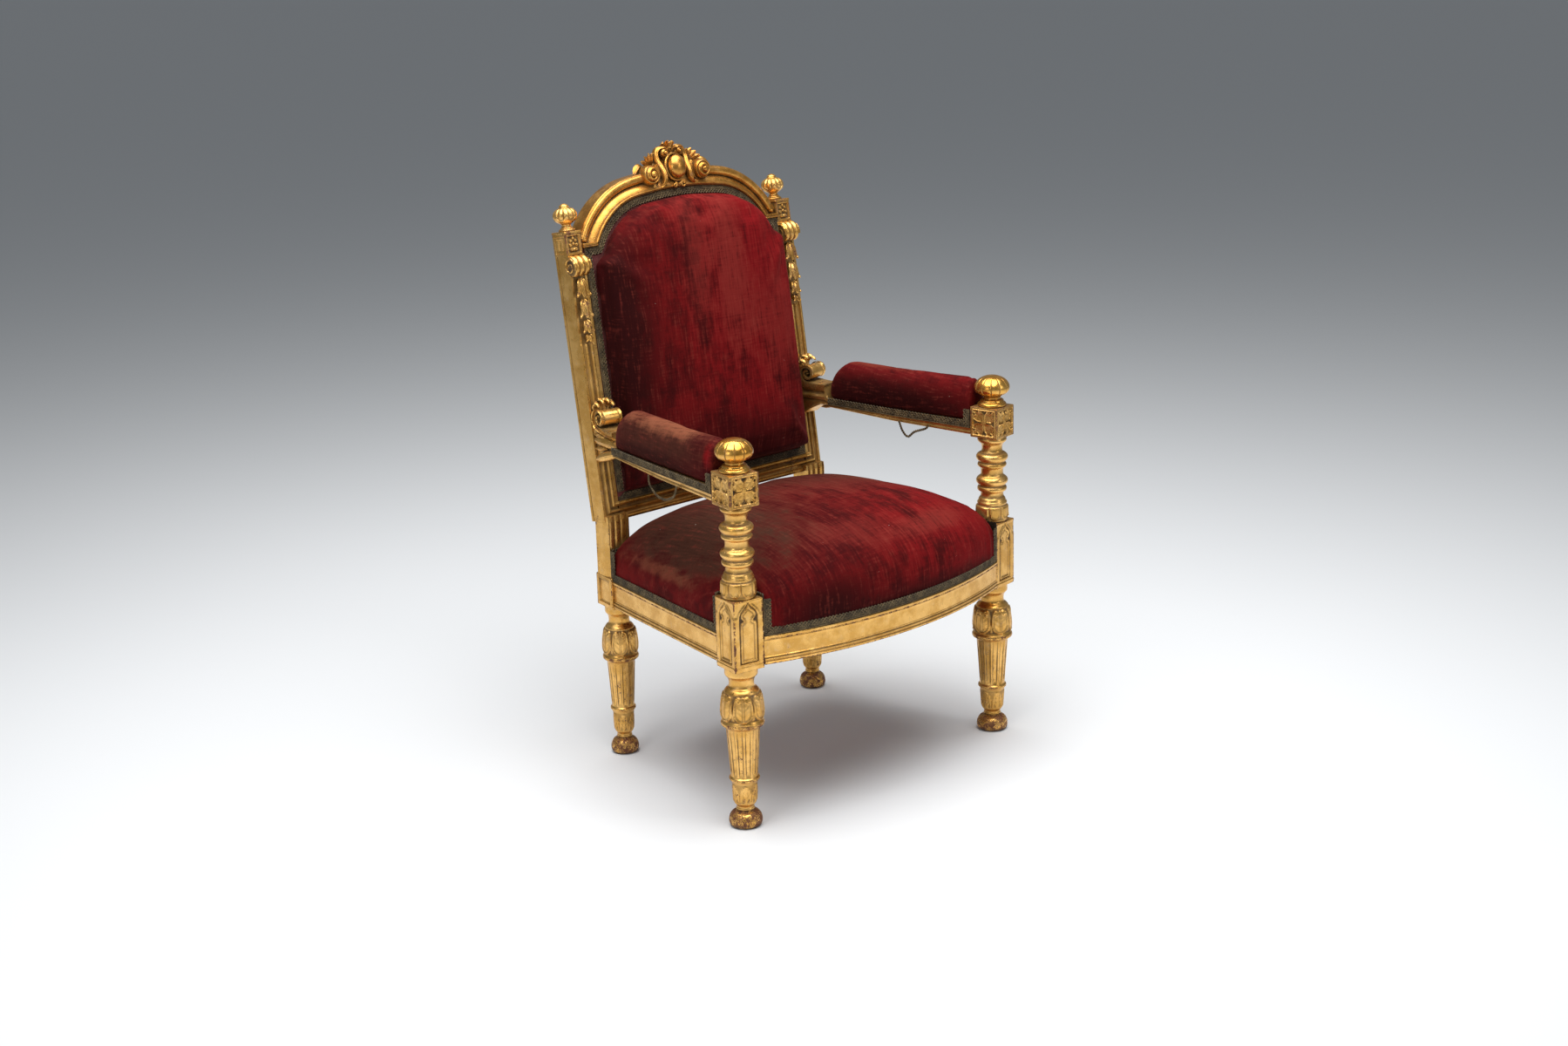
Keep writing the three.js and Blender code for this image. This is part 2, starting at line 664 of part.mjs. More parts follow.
function arm() {
  const near = CUBE_HALF + GAP;
  const far = ARM_RUN / Math.cos(ARM_TURN) + 20;
  const heel = WRIST_S + 12;
  const bar = [
    [near, BAR_Z], [200, BAR_Z + 3], [WRIST_S, BAR_Z + 11], [WRIST_S, BAR_TOP_Z], [near, BAR_TOP_Z],
  ];
  const wrist = [
    [WRIST_S - 30, BAR_Z + 9], [378, BAR_Z + 11], [403, BAR_Z + 3], [421, BAR_Z - 12],
    [far, BAR_Z - 20], [far, WRIST_TOP_Z], [heel, WRIST_TOP_Z], [heel, BAR_TOP_Z],
    [WRIST_S - 30, BAR_TOP_Z],
  ];
  const topLeaf = [
    [SCROLL_S, WRIST_TOP_Z - 1], [far, WRIST_TOP_Z - 1], [far, SCROLL_Z + 36],
    [far - 14, SCROLL_Z + 38], [far - 26, SCROLL_Z + 20], [SCROLL_S, SCROLL_Z + 8],
  ];
  const parts = [
    solid(plank(bar, -BAR_HALF, BAR_HALF)), solid(plank(wrist, -WRIST_HALF, WRIST_HALF)),
    solid(plank(topLeaf, 4 - WRIST_HALF, WRIST_HALF - 4)), armScroll(),
    cheekLeaf(390, 598, 10.5), cheekLeaf(388, 574, 9),
  ];
  return placedOnArm(join(parts)).subtract(behindStiles());
}

// What an arm's end meets: the front of the stiles, and the braid beside them, with play.
function behindStiles() {
  const stiles = solid(onBack(box([-400, 400], [-GAP, 200], [-300, 300])));
  const reach = STILE_X[0] + GAP;
  return stiles.add(solid(onBack(box([-reach, reach], [-3 * GAP - GIMP_THICK, 5], [-300, 300]))));
}

// ---- Upholstery ----

function ease(t) {
  return Math.sin((t * Math.PI) / 2);
}

// A box whose grid is bent by a rule from (u, v, w), each -1 to 1, to a place.
// The grid is finer towards the edges, where the padding turns over.
function padded(columns, rows, place) {
  const geometry = new THREE.BoxGeometry(2, 2, 2, columns, rows, 1);
  const position = geometry.attributes.position;
  for (let i = 0; i < position.count; i++) {
    const u = ease(position.getX(i));
    const v = ease(position.getY(i));
    position.setXYZ(i, ...place(u, v, position.getZ(i)));
  }
  return geometry;
}

// How full the padding stands: 0 at the edge, 1 in the middle.
function fullness(u, v) {
  const across = 1 - Math.abs(u) ** 3;
  const along = 1 - Math.abs(v) ** 3;
  return Math.sqrt(Math.max(across, 0) * Math.max(along, 0));
}

// The half width of the seat, from the line of the side rails, at depth y.
function seatHalf(y, inset) {
  const flare = (FRONT_X - REAR_X) / (REAR_Y - FRONT_Y);
  const out = (RAIL_OUT - inset) * Math.hypot(1, flare);
  return FRONT_X - (y - FRONT_Y) * flare + out;
}

// The seat's plan swollen by an amount, from z0 up to a domed or a flat top.
function seatBody(swell, z0, rows, topZ) {
  return solid(padded(8, rows, (u, v, w) => {
    const inset = SEAT_INSET - swell;
    const frontY = bowY(u * seatHalf(FRONT_Y, inset), inset);
    const y = frontY + ((v + 1) / 2) * (SEAT_REAR_Y + swell - frontY);
    return [u * seatHalf(y, inset), y, w < 0 ? z0 : topZ(u, v)];
  }));
}

// The posts with play around them, up through the seat.
function seatNotches(play) {
  const stileFeet = [-1, 1].map((side) => {
    const inner = STILE_FOOT_X - play;
    const x = side < 0 ? [-300, -inner] : [inner, 300];
    return solid(box(x, [STILE_FOOT_Y - play, 260], [300, 600]));
  });
  return postSpace(play).add(join(stileFeet));
}

function seatPad() {
  const dome = (u, v) => SEAT_EDGE_Z + SEAT_CROWN * fullness(u, v);
  return largest(
    seatBody(0, RAIL_Z[1] + GAP, 7, dome).subtract(seatNotches(GIMP_THICK + 2 * GAP)));
}

// The braid along the foot of the seat, and up around each post.
function seatGimp() {
  const foot = RAIL_Z[1];
  const rise = SEAT_EDGE_Z + 20;
  const shell = seatBody(GIMP_THICK + GAP, foot + GAP, 1, () => rise).subtract(seatNotches(GAP));
  const inside = seatBody(GAP, foot, 1, () => rise + 5).subtract(seatNotches(GIMP_THICK + GAP));
  const low = solid(box([-400, 400], [-400, 400], [foot, foot + GIMP_WIDE + 2]));
  return largest(shell.subtract(inside).intersect(low.add(seatNotches(GIMP_WIDE))));
}

// The top edge of the back's padding, swollen by an amount: an arched head with
// dropped shoulders.
function backHeadUp(x, swell) {
  const shoulderX = BACK_PAD_SHOULDER_X + swell / 2;
  const inset = BACK_PAD_INSET - swell;
  const past = Math.abs(x) - shoulderX;
  if (past <= 0) return archUp(x, inset);
  const spring = archUp(shoulderX, inset);
  const drop = spring - BACK_PAD_UP[1] - swell;
  return spring - drop * Math.sqrt(past / (BACK_PAD_X + swell - shoulderX));
}

// The outline of the padding swollen by an amount, with the corners of the padding's own grid.
function backOutline(swell) {
  const half = BACK_PAD_X + swell;
  const low = BACK_PAD_UP[0] - swell;
  const head = Array.from({ length: BACK_PAD_COLUMNS + 1 }, (_, i) => {
    const x = half * ease(1 - (2 * i) / BACK_PAD_COLUMNS);
    return [x, backHeadUp(x, swell)];
  });
  return [[-half, low], [half, low], ...head];
}

// The room of the back's rails and shoulders, with play.
function backRailSpace() {
  const belowRail = solid(box([-300, 300], [-20, 80], [-300, LOW_RAIL_UP[1] + GAP]));
  return join([arch(GAP), belowRail]);
}

// The back's padding on its ground, which fills the frame from behind.
function backPad() {
  const bowed = (u, v) => -BACK_PAD_EDGE - BACK_PAD_CROWN * fullness(u, v);
  const cushion = solid(padded(BACK_PAD_COLUMNS, 5, (u, v, w) => {
    const x = u * BACK_PAD_X;
    const up = BACK_PAD_UP[0] + ((v + 1) / 2) * (backHeadUp(x, 0) - BACK_PAD_UP[0]);
    return [x, w < 0 ? bowed(u, v) : 1, up];
  }));
  const ground = solid(slab(backOutline(STILE_X[0] - GAP - BACK_PAD_X), 0, BACK_PAD_GROUND));
  return placedOnBack(cushion.add(ground.subtract(backRailSpace())));
}

function backGimp() {
  const reach = STILE_X[0] - GAP - BACK_PAD_X;
  const outer = solid(slab(backOutline(reach), -GAP - GIMP_THICK, -GAP));
  const inner = solid(slab(backOutline(GAP), -10, 5));
  return placedOnBack(largest(outer.subtract(inner).subtract(backRailSpace())));
}

// The bolster on an arm: upright cheeks, a round top, and a round end behind.
function armPad() {
  const [near, far] = PAD_S;
  const base = BAR_TOP_Z + GAP;
  const height = PAD_TOP_Z - base;
  const half = BAR_HALF - 1;
  return placedOnArm(solid(padded(6, 5, (u, v, w) => {
    const s = near + ((far - near) * (v + 1)) / 2;
    const pastRound = Math.max(0, (s - (far - half)) / half);
    const narrow = Math.sqrt(1 - pastRound ** 2) * 0.97 + 0.03;
    const droop = Math.sqrt(1 - Math.min(1, Math.max(0, (s - far + 60) / 62)) ** 2);
    const round = (1 - u * u) ** 0.28 * 0.86 + 0.14;
    return [u * half * narrow, s, base + (w < 0 ? 0 : height * Math.max(round * droop, 0.1))];
  })));
}

// The braid along one cheek of an arm bar and up beside the arm cube.
function armGimp(side) {
  const low = BAR_TOP_Z - GIMP_WIDE + 2;
  const high = BAR_TOP_Z + 1;
  const near = CUBE_HALF + GAP;
  const outline = [
    [near, low], [WRIST_S, low + 3], [WRIST_S, high], [near + 8, high],
    [near + 8, CUBE_Z[1] - 6], [near, CUBE_Z[1] - 6],
  ];
  const cheek = BAR_HALF + GAP;
  const x = side < 0 ? [-cheek - GIMP_THICK, -cheek] : [cheek, cheek + GIMP_THICK];
  return placedOnArm(solid(plank(outline, ...x)));
}

// A loose edge cord of the braid, hanging in a slack loop beside one cheek of the right arm.
function slackCord(route, side) {
  const clear = BAR_HALF + GIMP_THICK + 2 * GAP + CORD_R;
  const curve = new THREE.CatmullRomCurve3(
    route.map(([s, z]) => new THREE.Vector3(side * clear, s, z)));
  const corners = arc([0, 0], CORD_R, 0, Math.PI * 2 * (1 - 1 / CORD_SIDES), CORD_SIDES - 1);
  const section = new THREE.Shape(corners.map(([x, y]) => new THREE.Vector2(x, y)));
  return placedOnArm(solid(new THREE.ExtrudeGeometry(
    section, { steps: CORD_STEPS, extrudePath: curve, bevelEnabled: false })));
}

// ---- The throne ----

const throne = new THREE.Group();

function addPair(name, body, material, place) {
  const right = piece(name + "_right", body, material);
  if (place) {
    right.position.set(place.x, place.y, 0);
    right.rotation.z = place.turn;
  }
  throne.add(right, mirrored(name + "_left", right));
}

const onFrontPost = { x: FRONT_X, y: FRONT_Y, turn: POST_TURN };
addPair("front_post", frontPost(), gilt, onFrontPost);
addPair("arm_finial", armFinial(), burnished, onFrontPost);
addPair("rear_post", rearPost(), gilt);
addPair("side_rail", sideRail(), gilt);
addPair("arm", arm(), gilt);
addPair("arm_pad", armPad(), velvet);
addPair("arm_gimp_outer", armGimp(1), braid);
addPair("arm_gimp_inner", armGimp(-1), braid);

const finialX = (STILE_X[0] + STILE_X[1]) / 2 - 2;
const finialAt = [finialX, STILE_DEPTH / 2, TOP_UP + GAP];
addPair("back_finial", placedOnBack(backFinial().translate(finialAt)), gilt);

const outerCord = piece("loose_gimp_outer", slackCord(LEFT_CORD, 1), braid);

throne.add(
  piece("front_rail", frontRail(), gilt),
  piece("rear_rail", rearRail(), gilt),
  piece("back_top_rail", placedOnBack(arch(0)), gilt),
  piece("crest", crest(), gilt),
  piece("back_lower_rail", lowRail(), gilt),
  piece("seat_pad", seatPad(), velvet),
  piece("back_pad", backPad(), velvet),
  piece("seat_gimp", seatGimp(), braid),
  piece("back_gimp", backGimp(), braid),
  piece("loose_gimp_right", slackCord(RIGHT_CORD, -1), braid),
  mirrored("loose_gimp_left", outerCord),
);

// The origin is brought under the middle of the whole, from front to back.
const bounds = new THREE.Box3().setFromObject(throne);
throne.position.y = -(bounds.min.y + bounds.max.y) / 2;

export default throne;
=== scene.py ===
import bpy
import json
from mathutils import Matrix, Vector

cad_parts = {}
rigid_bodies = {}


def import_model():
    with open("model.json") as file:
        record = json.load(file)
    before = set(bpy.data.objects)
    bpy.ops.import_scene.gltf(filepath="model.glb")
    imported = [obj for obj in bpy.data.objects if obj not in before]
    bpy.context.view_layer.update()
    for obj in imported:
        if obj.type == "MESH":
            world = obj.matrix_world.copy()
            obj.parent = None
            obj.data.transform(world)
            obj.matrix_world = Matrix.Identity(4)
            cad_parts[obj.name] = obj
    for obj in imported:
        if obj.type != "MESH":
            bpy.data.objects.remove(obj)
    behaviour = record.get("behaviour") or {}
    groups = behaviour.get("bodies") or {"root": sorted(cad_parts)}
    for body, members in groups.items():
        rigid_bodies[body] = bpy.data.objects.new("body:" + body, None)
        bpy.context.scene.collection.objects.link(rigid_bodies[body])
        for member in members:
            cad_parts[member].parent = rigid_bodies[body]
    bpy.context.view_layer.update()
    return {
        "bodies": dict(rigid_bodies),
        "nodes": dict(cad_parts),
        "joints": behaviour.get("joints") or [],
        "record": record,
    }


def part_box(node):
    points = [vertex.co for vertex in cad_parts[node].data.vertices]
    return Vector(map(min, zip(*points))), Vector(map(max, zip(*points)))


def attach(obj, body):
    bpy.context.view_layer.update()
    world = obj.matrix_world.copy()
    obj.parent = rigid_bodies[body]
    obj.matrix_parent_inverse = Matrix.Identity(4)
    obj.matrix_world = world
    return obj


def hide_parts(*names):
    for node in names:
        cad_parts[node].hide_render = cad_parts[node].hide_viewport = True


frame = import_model()

import json
import math

import bpy
import numpy as np
from mathutils import Matrix, Vector

# All lengths below are millimetres in the row frame, unless a name says otherwise.
# Finished meshes are scaled to metres.
MM = 0.001
DEG = math.pi / 180

# ---- Dimensions repeated from the CAD ----

POST_TURN = 9 * DEG
RAKE = 8.17 * DEG
FRONT_X = 312
FRONT_Y = -221
REAR_X = 240
REAR_Y = 194
PIVOT_Y = 208
PIVOT_Z = 608
ARM_TURN = math.atan2(312 - 246, PIVOT_Y + 12 * math.tan(RAKE) + 221)
RAIL_TOP = 339
BOW_Y = -309
BOW_R = 811
STILE_X = (232, 268.3)
STILE_DEPTH = 39
STILE_FOOT_Y = 176
BLOCK_HALF = 29
CUBE_HALF = 28.5
CUBE_MIDDLE = 594
REAR_BLOCK_HALF = 27.5

# The CAD is centred from front to back at the end, so every depth moves by this much.
low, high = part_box("arm_finial_right")
SHIFT_Y = (low.y + high.y) / 2 / MM - FRONT_Y


def add_object(name, data):
    """A new object in the scene."""
    made = bpy.data.objects.new(name, data)
    bpy.context.scene.collection.objects.link(made)
    return made


# ---- Camera ----

CAMERA_AT = (-2657.6, -2899.7 + SHIFT_Y, 1553.5)
CAMERA_YAW = 42.47 * DEG
CAMERA_PITCH = 16.01 * DEG
CAMERA_ROLL = -1.56 * DEG
LENS_MM = 51.83

forward = Vector((math.sin(CAMERA_YAW) * math.cos(CAMERA_PITCH),
                  math.cos(CAMERA_YAW) * math.cos(CAMERA_PITCH), -math.sin(CAMERA_PITCH)))
level = Vector((math.cos(CAMERA_YAW), -math.sin(CAMERA_YAW), 0))
above = level.cross(forward)
across = math.cos(CAMERA_ROLL) * level + math.sin(CAMERA_ROLL) * above
upward = math.cos(CAMERA_ROLL) * above - math.sin(CAMERA_ROLL) * level
camera = add_object("camera", bpy.data.cameras.new("camera"))
camera.data.lens = LENS_MM
camera.data.sensor_width = 36
camera.data.clip_end = 60
turn = Matrix((across, upward, -forward)).transposed().to_4x4()
camera.matrix_world = Matrix.Translation(Vector(CAMERA_AT) * MM) @ turn
bpy.context.scene.camera = camera

# ---- Frames: from a piece's own coordinates to the row frame ----


def turned_frame(x, y, angle):
    """A frame at (x, y), turned about the vertical."""
    m = np.eye(4)
    m[:2, :2] = [[math.cos(angle), -math.sin(angle)], [math.sin(angle), math.cos(angle)]]
    m[:2, 3] = (x, y + SHIFT_Y)
    return m


def leaned_frame():
    """The back's frame: across, depth behind the back plane, and up it."""
    m = np.eye(4)
    c, s = math.cos(RAKE), math.sin(RAKE)
    m[1:3, 1:3] = [[c, s], [-s, c]]
    m[1:3, 3] = (PIVOT_Y + SHIFT_Y, PIVOT_Z)
    return m


def placed(p, matrix):
    """Points moved out of a frame, into the row frame."""
    return p @ matrix[:3, :3].T + matrix[:3, 3]


def unplaced(p, matrix):
    """Points moved from the row frame into a frame."""
    return (p - matrix[:3, 3]) @ matrix[:3, :3]


FRONT_POST = turned_frame(FRONT_X, FRONT_Y, POST_TURN)
REAR_POST = turned_frame(REAR_X, REAR_Y, POST_TURN)
ARM = turned_frame(FRONT_X, FRONT_Y, ARM_TURN)
PLAIN = turned_frame(0, 0, 0)
BACK = leaned_frame()

# ---- Small maths ----


def smooth(a, b, x):
    """0 at a and 1 at b, with a smooth step between them."""
    t = np.clip((np.asarray(x, float) - a) / (b - a), 0, 1)
    return t * t * (3 - 2 * t)


def triangle(t):
    """A wave of straight lines: 1 at whole numbers and 0 halfway between them."""
    return abs(t % 1 - 0.5) * 2


def full_turn(count):
    """count equal steps round a circle."""
    return np.arange(count) * 2 * math.pi / count


def from_nearest(angle, count):
    """The angle from the nearest of count equally spaced lines, the first at 0."""
    pitch = 2 * math.pi / count
    return abs((angle + pitch / 2) % pitch - pitch / 2)


def stack(x, y, z):
    """Points from coordinates of shapes that broadcast together."""
    return np.stack(np.broadcast_arrays(x, y, z), -1)


def unit(v):
    """Vectors brought to length 1."""
    return v / np.maximum(np.linalg.norm(v, axis=-1, keepdims=True), 1e-9)


def bead(distance, half_width):
    """1 on a line, falling in a round to 0 at half_width from it."""
    return np.sqrt(np.clip(1 - (np.asarray(distance, float) / half_width) ** 2, 0, 1))


def line_distance(px, py, points, closed=False):
    """Distance from each (px, py) to a polyline."""
    points = np.asarray(points, float)
    if closed:
        points = np.vstack([points, points[:1]])
    best = np.full(np.shape(px), 1e9)
    for (ax, ay), (bx, by) in zip(points[:-1], points[1:]):
        dx, dy = bx - ax, by - ay
        t = np.clip(((px - ax) * dx + (py - ay) * dy) / max(dx * dx + dy * dy, 1e-9), 0, 1)
        best = np.minimum(best, np.hypot(px - ax - t * dx, py - ay - t * dy))
    return best


def inside(px, py, points):
    """Where (px, py) lies inside a closed outline."""
    points = np.asarray(points, float)
    result = np.zeros(np.shape(px), bool)
    for (ax, ay), (bx, by) in zip(points, np.roll(points, -1, 0)):
        if ay == by:
            continue
        crossing = (ay > py) != (by > py)
        result ^= crossing & (px < (bx - ax) * (py - ay) / (by - ay) + ax)
    return result


def depth_in(px, py, points):
    """Signed distance to a closed outline, positive inside it."""
    return np.where(inside(px, py, points), 1, -1) * line_distance(px, py, points, True)


def mirrored_outline(half):
    """A closed outline from its right half, listed from bottom to top."""
    return half + [(-x, y) for x, y in reversed(half)]


def rounded(points, passes=2):
    """Cuts the corners of an open line, and keeps its ends."""
    p = np.asarray(points, float)
    for _ in range(passes):
        a, b = p[:-1], p[1:]
        cut = np.empty((2 * len(a), p.shape[1]))
        cut[0::2] = 0.75 * a + 0.25 * b
        cut[1::2] = 0.25 * a + 0.75 * b
        p = np.vstack([p[:1], cut[1:-1], p[-1:]])
    return p


def spaced(points, step):
    """The same line with points no further apart than step."""
    p = np.asarray(points, float)
    out = [p[:1]]
    for a, b in zip(p[:-1], p[1:]):
        n = max(1, int(math.ceil(np.linalg.norm(b - a) / step)))
        t = np.arange(1, n + 1)[:, None] / n
        out.append(a + (b - a) * t)
    return np.vstack(out)


def even(points, count):
    """count points at equal distances along a line."""
    p = np.asarray(points, float)
    run = np.concatenate([[0], np.cumsum(np.linalg.norm(np.diff(p, axis=0), axis=1))])
    at = np.linspace(0, run[-1], count)
    return np.stack([np.interp(at, run, p[:, k]) for k in range(p.shape[1])], 1)


def spiral(centre, r0, r1, a0, a1, steps):
    """Points of a flat spiral, radius r0 at angle a0 to r1 at a1, in degrees."""
    t = np.linspace(0, 1, steps)
    r = r0 + (r1 - r0) * t
    a = (a0 + (a1 - a0) * t) * DEG
    return np.stack([centre[0] + r * np.cos(a), centre[1] + r * np.sin(a)], 1)


# ---- Shapes: grids of points gathered into one mesh ----

SHARP_ANGLE = 32 * DEG


class Shape:
    """Points in millimetres with two masks: dark, for painted shade and grime in the hollows, and rub, where gilding
    is worn.
    """

    def __init__(self):
        self.points, self.dark, self.rub, self.faces, self.count = [], [], [], [], 0

    def grid(self, p, dark=0, rub=0):
        """Rows of points. Each row closes on itself, and the first and last rows are capped."""
        rows, cols = p.shape[:2]
        index = np.arange(rows * cols).reshape(rows, cols) + self.count
        other = np.roll(index, -1, 1)
        quads = np.stack([index[:-1], other[:-1], other[1:], index[1:]], -1).reshape(-1, 4)
        self.faces += quads.tolist() + [index[0, ::-1].tolist(), index[-1].tolist()]
        self.points.append(p.reshape(-1, 3))
        for mask, values in ((self.dark, dark), (self.rub, rub)):
            mask.append(np.broadcast_to(np.asarray(values, float), (rows, cols)).ravel())
        self.count += rows * cols

    def add(self, other, matrix=None):
        """Another shape, placed by a matrix."""
        p = np.vstack(other.points)
        self.points.append(p if matrix is None else placed(p, matrix))
        self.dark += other.dark
        self.rub += other.rub
        self.faces += [[i + self.count for i in f] for f in other.faces]
        self.count += other.count

    def object(self, name, material, matrix, flip_x=False):
        """An object of this shape, placed by a matrix. flip_x mirrors it from right to left."""
        p = placed(np.vstack(self.points), matrix)
        if flip_x:
            p = p * (-1, 1, 1)
        mesh = bpy.data.meshes.new(name)
        mesh.from_pydata((p * MM).tolist(), [], self.faces)
        for label, values in (("dark", self.dark), ("rub", self.rub)):
            mask = mesh.attributes.new(label, "FLOAT", "POINT")
            mask.data.foreach_set("value", np.concatenate(values).astype(np.float32))
        clean(mesh)
        mesh.polygons.foreach_set("use_smooth", [True] * len(mesh.polygons))
        mesh.set_sharp_from_angle(angle=SHARP_ANGLE)
        mesh.materials.append(material)
        return add_object(name, mesh)


def clean(mesh):
    """Merges doubled points, drops faces of no size and turns the normals outwards."""
    import bmesh
    b = bmesh.new()
    b.from_mesh(mesh)
    bmesh.ops.remove_doubles(b, verts=b.verts, dist=2e-6)
    bmesh.ops.dissolve_degenerate(b, edges=b.edges, dist=1e-6)
    bmesh.ops.recalc_face_normals(b, faces=b.faces)
    b.to_mesh(mesh)
    b.free()


def finish_piece(made, nodes):
    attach(made, "root")
    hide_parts(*nodes)


def pair(shape, node, material, matrix):
    """The right-hand piece and its mirror image on the left."""
    for side in ("right", "left"):
        name = f"{node}_{side}"
        finish_piece(shape.object(name + "_look", material, matrix, side == "left"), [name])


def single(shape, node, material, matrix):
    finish_piece(shape.object(node + "_look", material, matrix), [node])


def lathe(shape, profile, cols, relief, axis=(0, 0), start=0.0):
    """A profile of (radius, height) points turned about the vertical.
    relief(angle, height, radius) gives what stands out, and the two masks."""
    p = np.asarray(profile, float)
    angle = start + full_turn(cols)
    a, z, r = np.broadcast_arrays(angle[None], p[:, 1:], p[:, :1])
    out, dark, rub = relief(a, z, r)
    r = r + out
    shape.grid(stack(axis[0] + r * np.cos(a), axis[1] + r * np.sin(a), z), dark, rub)


def block(shape, half_x, half_y, z0, z1, reliefs, step=1.05, chamfer=0.9, centre=(0, 0)):
    """A squared part with carved faces. reliefs gives, for a face (0 front, 1 right, 2 back, 3 left),
    a function of (across, height) that returns what stands out, and the two masks."""
    rows = int(round((z1 - z0) / step))
    z = np.concatenate([[z0, z0 + 0.3], np.linspace(z0 + chamfer, z1 - chamfer, rows), [z1 - 0.3, z1]])[:, None]
    inset = np.zeros((len(z), 1))
    inset[[0, -1]] = chamfer
    inset[[1, -2]] = chamfer * 0.35
    worn_ends = 0.7 * np.maximum(smooth(z1 - 2.6, z1 - chamfer, z), smooth(z0 + 2.6, z0 + chamfer, z))
    points, darks, rubs = [], [], []
    for k in range(4):
        half_u, half_n = (half_x, half_y) if k % 2 == 0 else (half_y, half_x)
        carved = k in reliefs
        cols = int(round(2 * half_u / step)) if carved else 3
        u, zz = np.broadcast_arrays(np.linspace(-half_u + chamfer, half_u - chamfer, cols), z)
        h = d = w = np.zeros_like(u)
        if carved:
            h, d, w = (np.broadcast_to(v, u.shape) for v in reliefs[k](u, zz))
        out = half_n + h - inset
        along = u * (1 - inset / half_u)
        c, s = math.cos(k * math.pi / 2), math.sin(k * math.pi / 2)
        points.append(stack(centre[0] + s * out + c * along, centre[1] - c * out + s * along, zz))
        if carved:
            edge = smooth(half_u - 4.6, half_u - 1.8, abs(u))
        else:
            edge = 0.6 * smooth(half_u - 4, half_u, abs(u))
        darks.append(d)
        rubs.append(np.maximum(w, np.maximum(edge, worn_ends)))
    shape.grid(np.concatenate(points, 1), np.concatenate(darks, 1), np.concatenate(rubs, 1))


def band(shape, line, half_width, half_depth, cols=10, rub=0, square=1.0):
    """A rounded band along a line of (across, depth, up) points that lies in the across-up plane.
    half_width and half_depth may differ from point to point. square below 1 flattens its sides."""
    line = np.asarray(line, float)
    n = len(line)
    tangent = unit(np.gradient(line, axis=0) * (1, 0, 1))
    normal = np.stack([-tangent[:, 2], np.zeros(n), tangent[:, 0]], 1)
    a = full_turn(cols)
    c = np.sign(np.cos(a)) * abs(np.cos(a)) ** square
    s = np.sign(np.sin(a)) * abs(np.sin(a)) ** square
    w = np.broadcast_to(half_width, n)[:, None, None]
    d = np.broadcast_to(half_depth, n)[:, None, None]
    depth = np.array([0, 1, 0])
    shape.grid(line[:, None] + w * c[None, :, None] * normal[:, None] + d * s[None, :, None] * depth, 0, rub)


def tube(shape, line, radius, cols=8):
    """A round tube along any line of points."""
    line = np.asarray(line, float)
    tangent = unit(np.gradient(line, axis=0))
    u = unit(np.cross(tangent, (0.31, 0.47, 0.83)))
    v = np.cross(tangent, u)
    a = full_turn(cols)
    r = np.broadcast_to(radius, len(line))[:, None, None]
    shape.grid(line[:, None] + r * (np.cos(a)[None, :, None] * u[:, None] + np.sin(a)[None, :, None] * v[:, None]))


def leaf(shape, spine, width, face, thick=1.2, cup=0.0, rib=0.6, rub=0):
    """A closed leaf along a spine of points. face is the direction that its front looks in.
    width is the half width at each of its points, and cup lifts the edges towards face."""
    spine = even(rounded(spine), 17)
    t = np.linspace(0, 1, len(spine))
    w = np.interp(t, np.linspace(0, 1, len(width)), width)
    tangent = unit(np.gradient(spine, axis=0))
    side = unit(np.cross(tangent, np.broadcast_to(np.asarray(face, float), spine.shape)))
    up = np.cross(side, tangent)
    # Across the leaf: nine columns in front, three behind.
    q = np.array([-1, -0.8, -0.5, -0.16, 0, 0.16, 0.5, 0.8, 1, 0.6, 0, -0.6])
    front = np.arange(len(q)) < 9
    swell = np.where(front, thick * np.sqrt(np.clip(1 - q ** 2, 0, 1)), -0.5 * thick)
    swell += np.where(front, rib * np.exp(-((q / 0.14) ** 2)), 0)
    taper = np.clip(w / max(w.max(), 1e-6), 0.15, 1)[:, None]
    lift = taper * (swell + cup * q ** 2)[None]
    points = spine[:, None] + (w[:, None] * q[None])[..., None] * side[:, None] + lift[..., None] * up[:, None]
    # The dark mask: painted shade beside the midrib, and over the whole back of the leaf.
    dark = np.where(front, smooth(0.28, 0.12, abs(q)) * smooth(0, 0.06, abs(q)) * 0.5, 0.7)
    shape.grid(points, dark, rub)


def ball(shape, centre, radii, rows=12, cols=20, rub=0, axis="z"):
    """An ellipsoid. axis is the one that its poles lie on."""
    a = np.linspace(0.02, math.pi - 0.02, rows)[:, None]
    b = full_turn(cols)
    sphere = stack(np.sin(a) * np.cos(b), np.sin(a) * np.sin(b), np.cos(a))
    if axis == "y":
        sphere = sphere[..., [0, 2, 1]]
    shape.grid(np.asarray(centre) + sphere * np.asarray(radii), 0, rub)


# ---- Materials ----


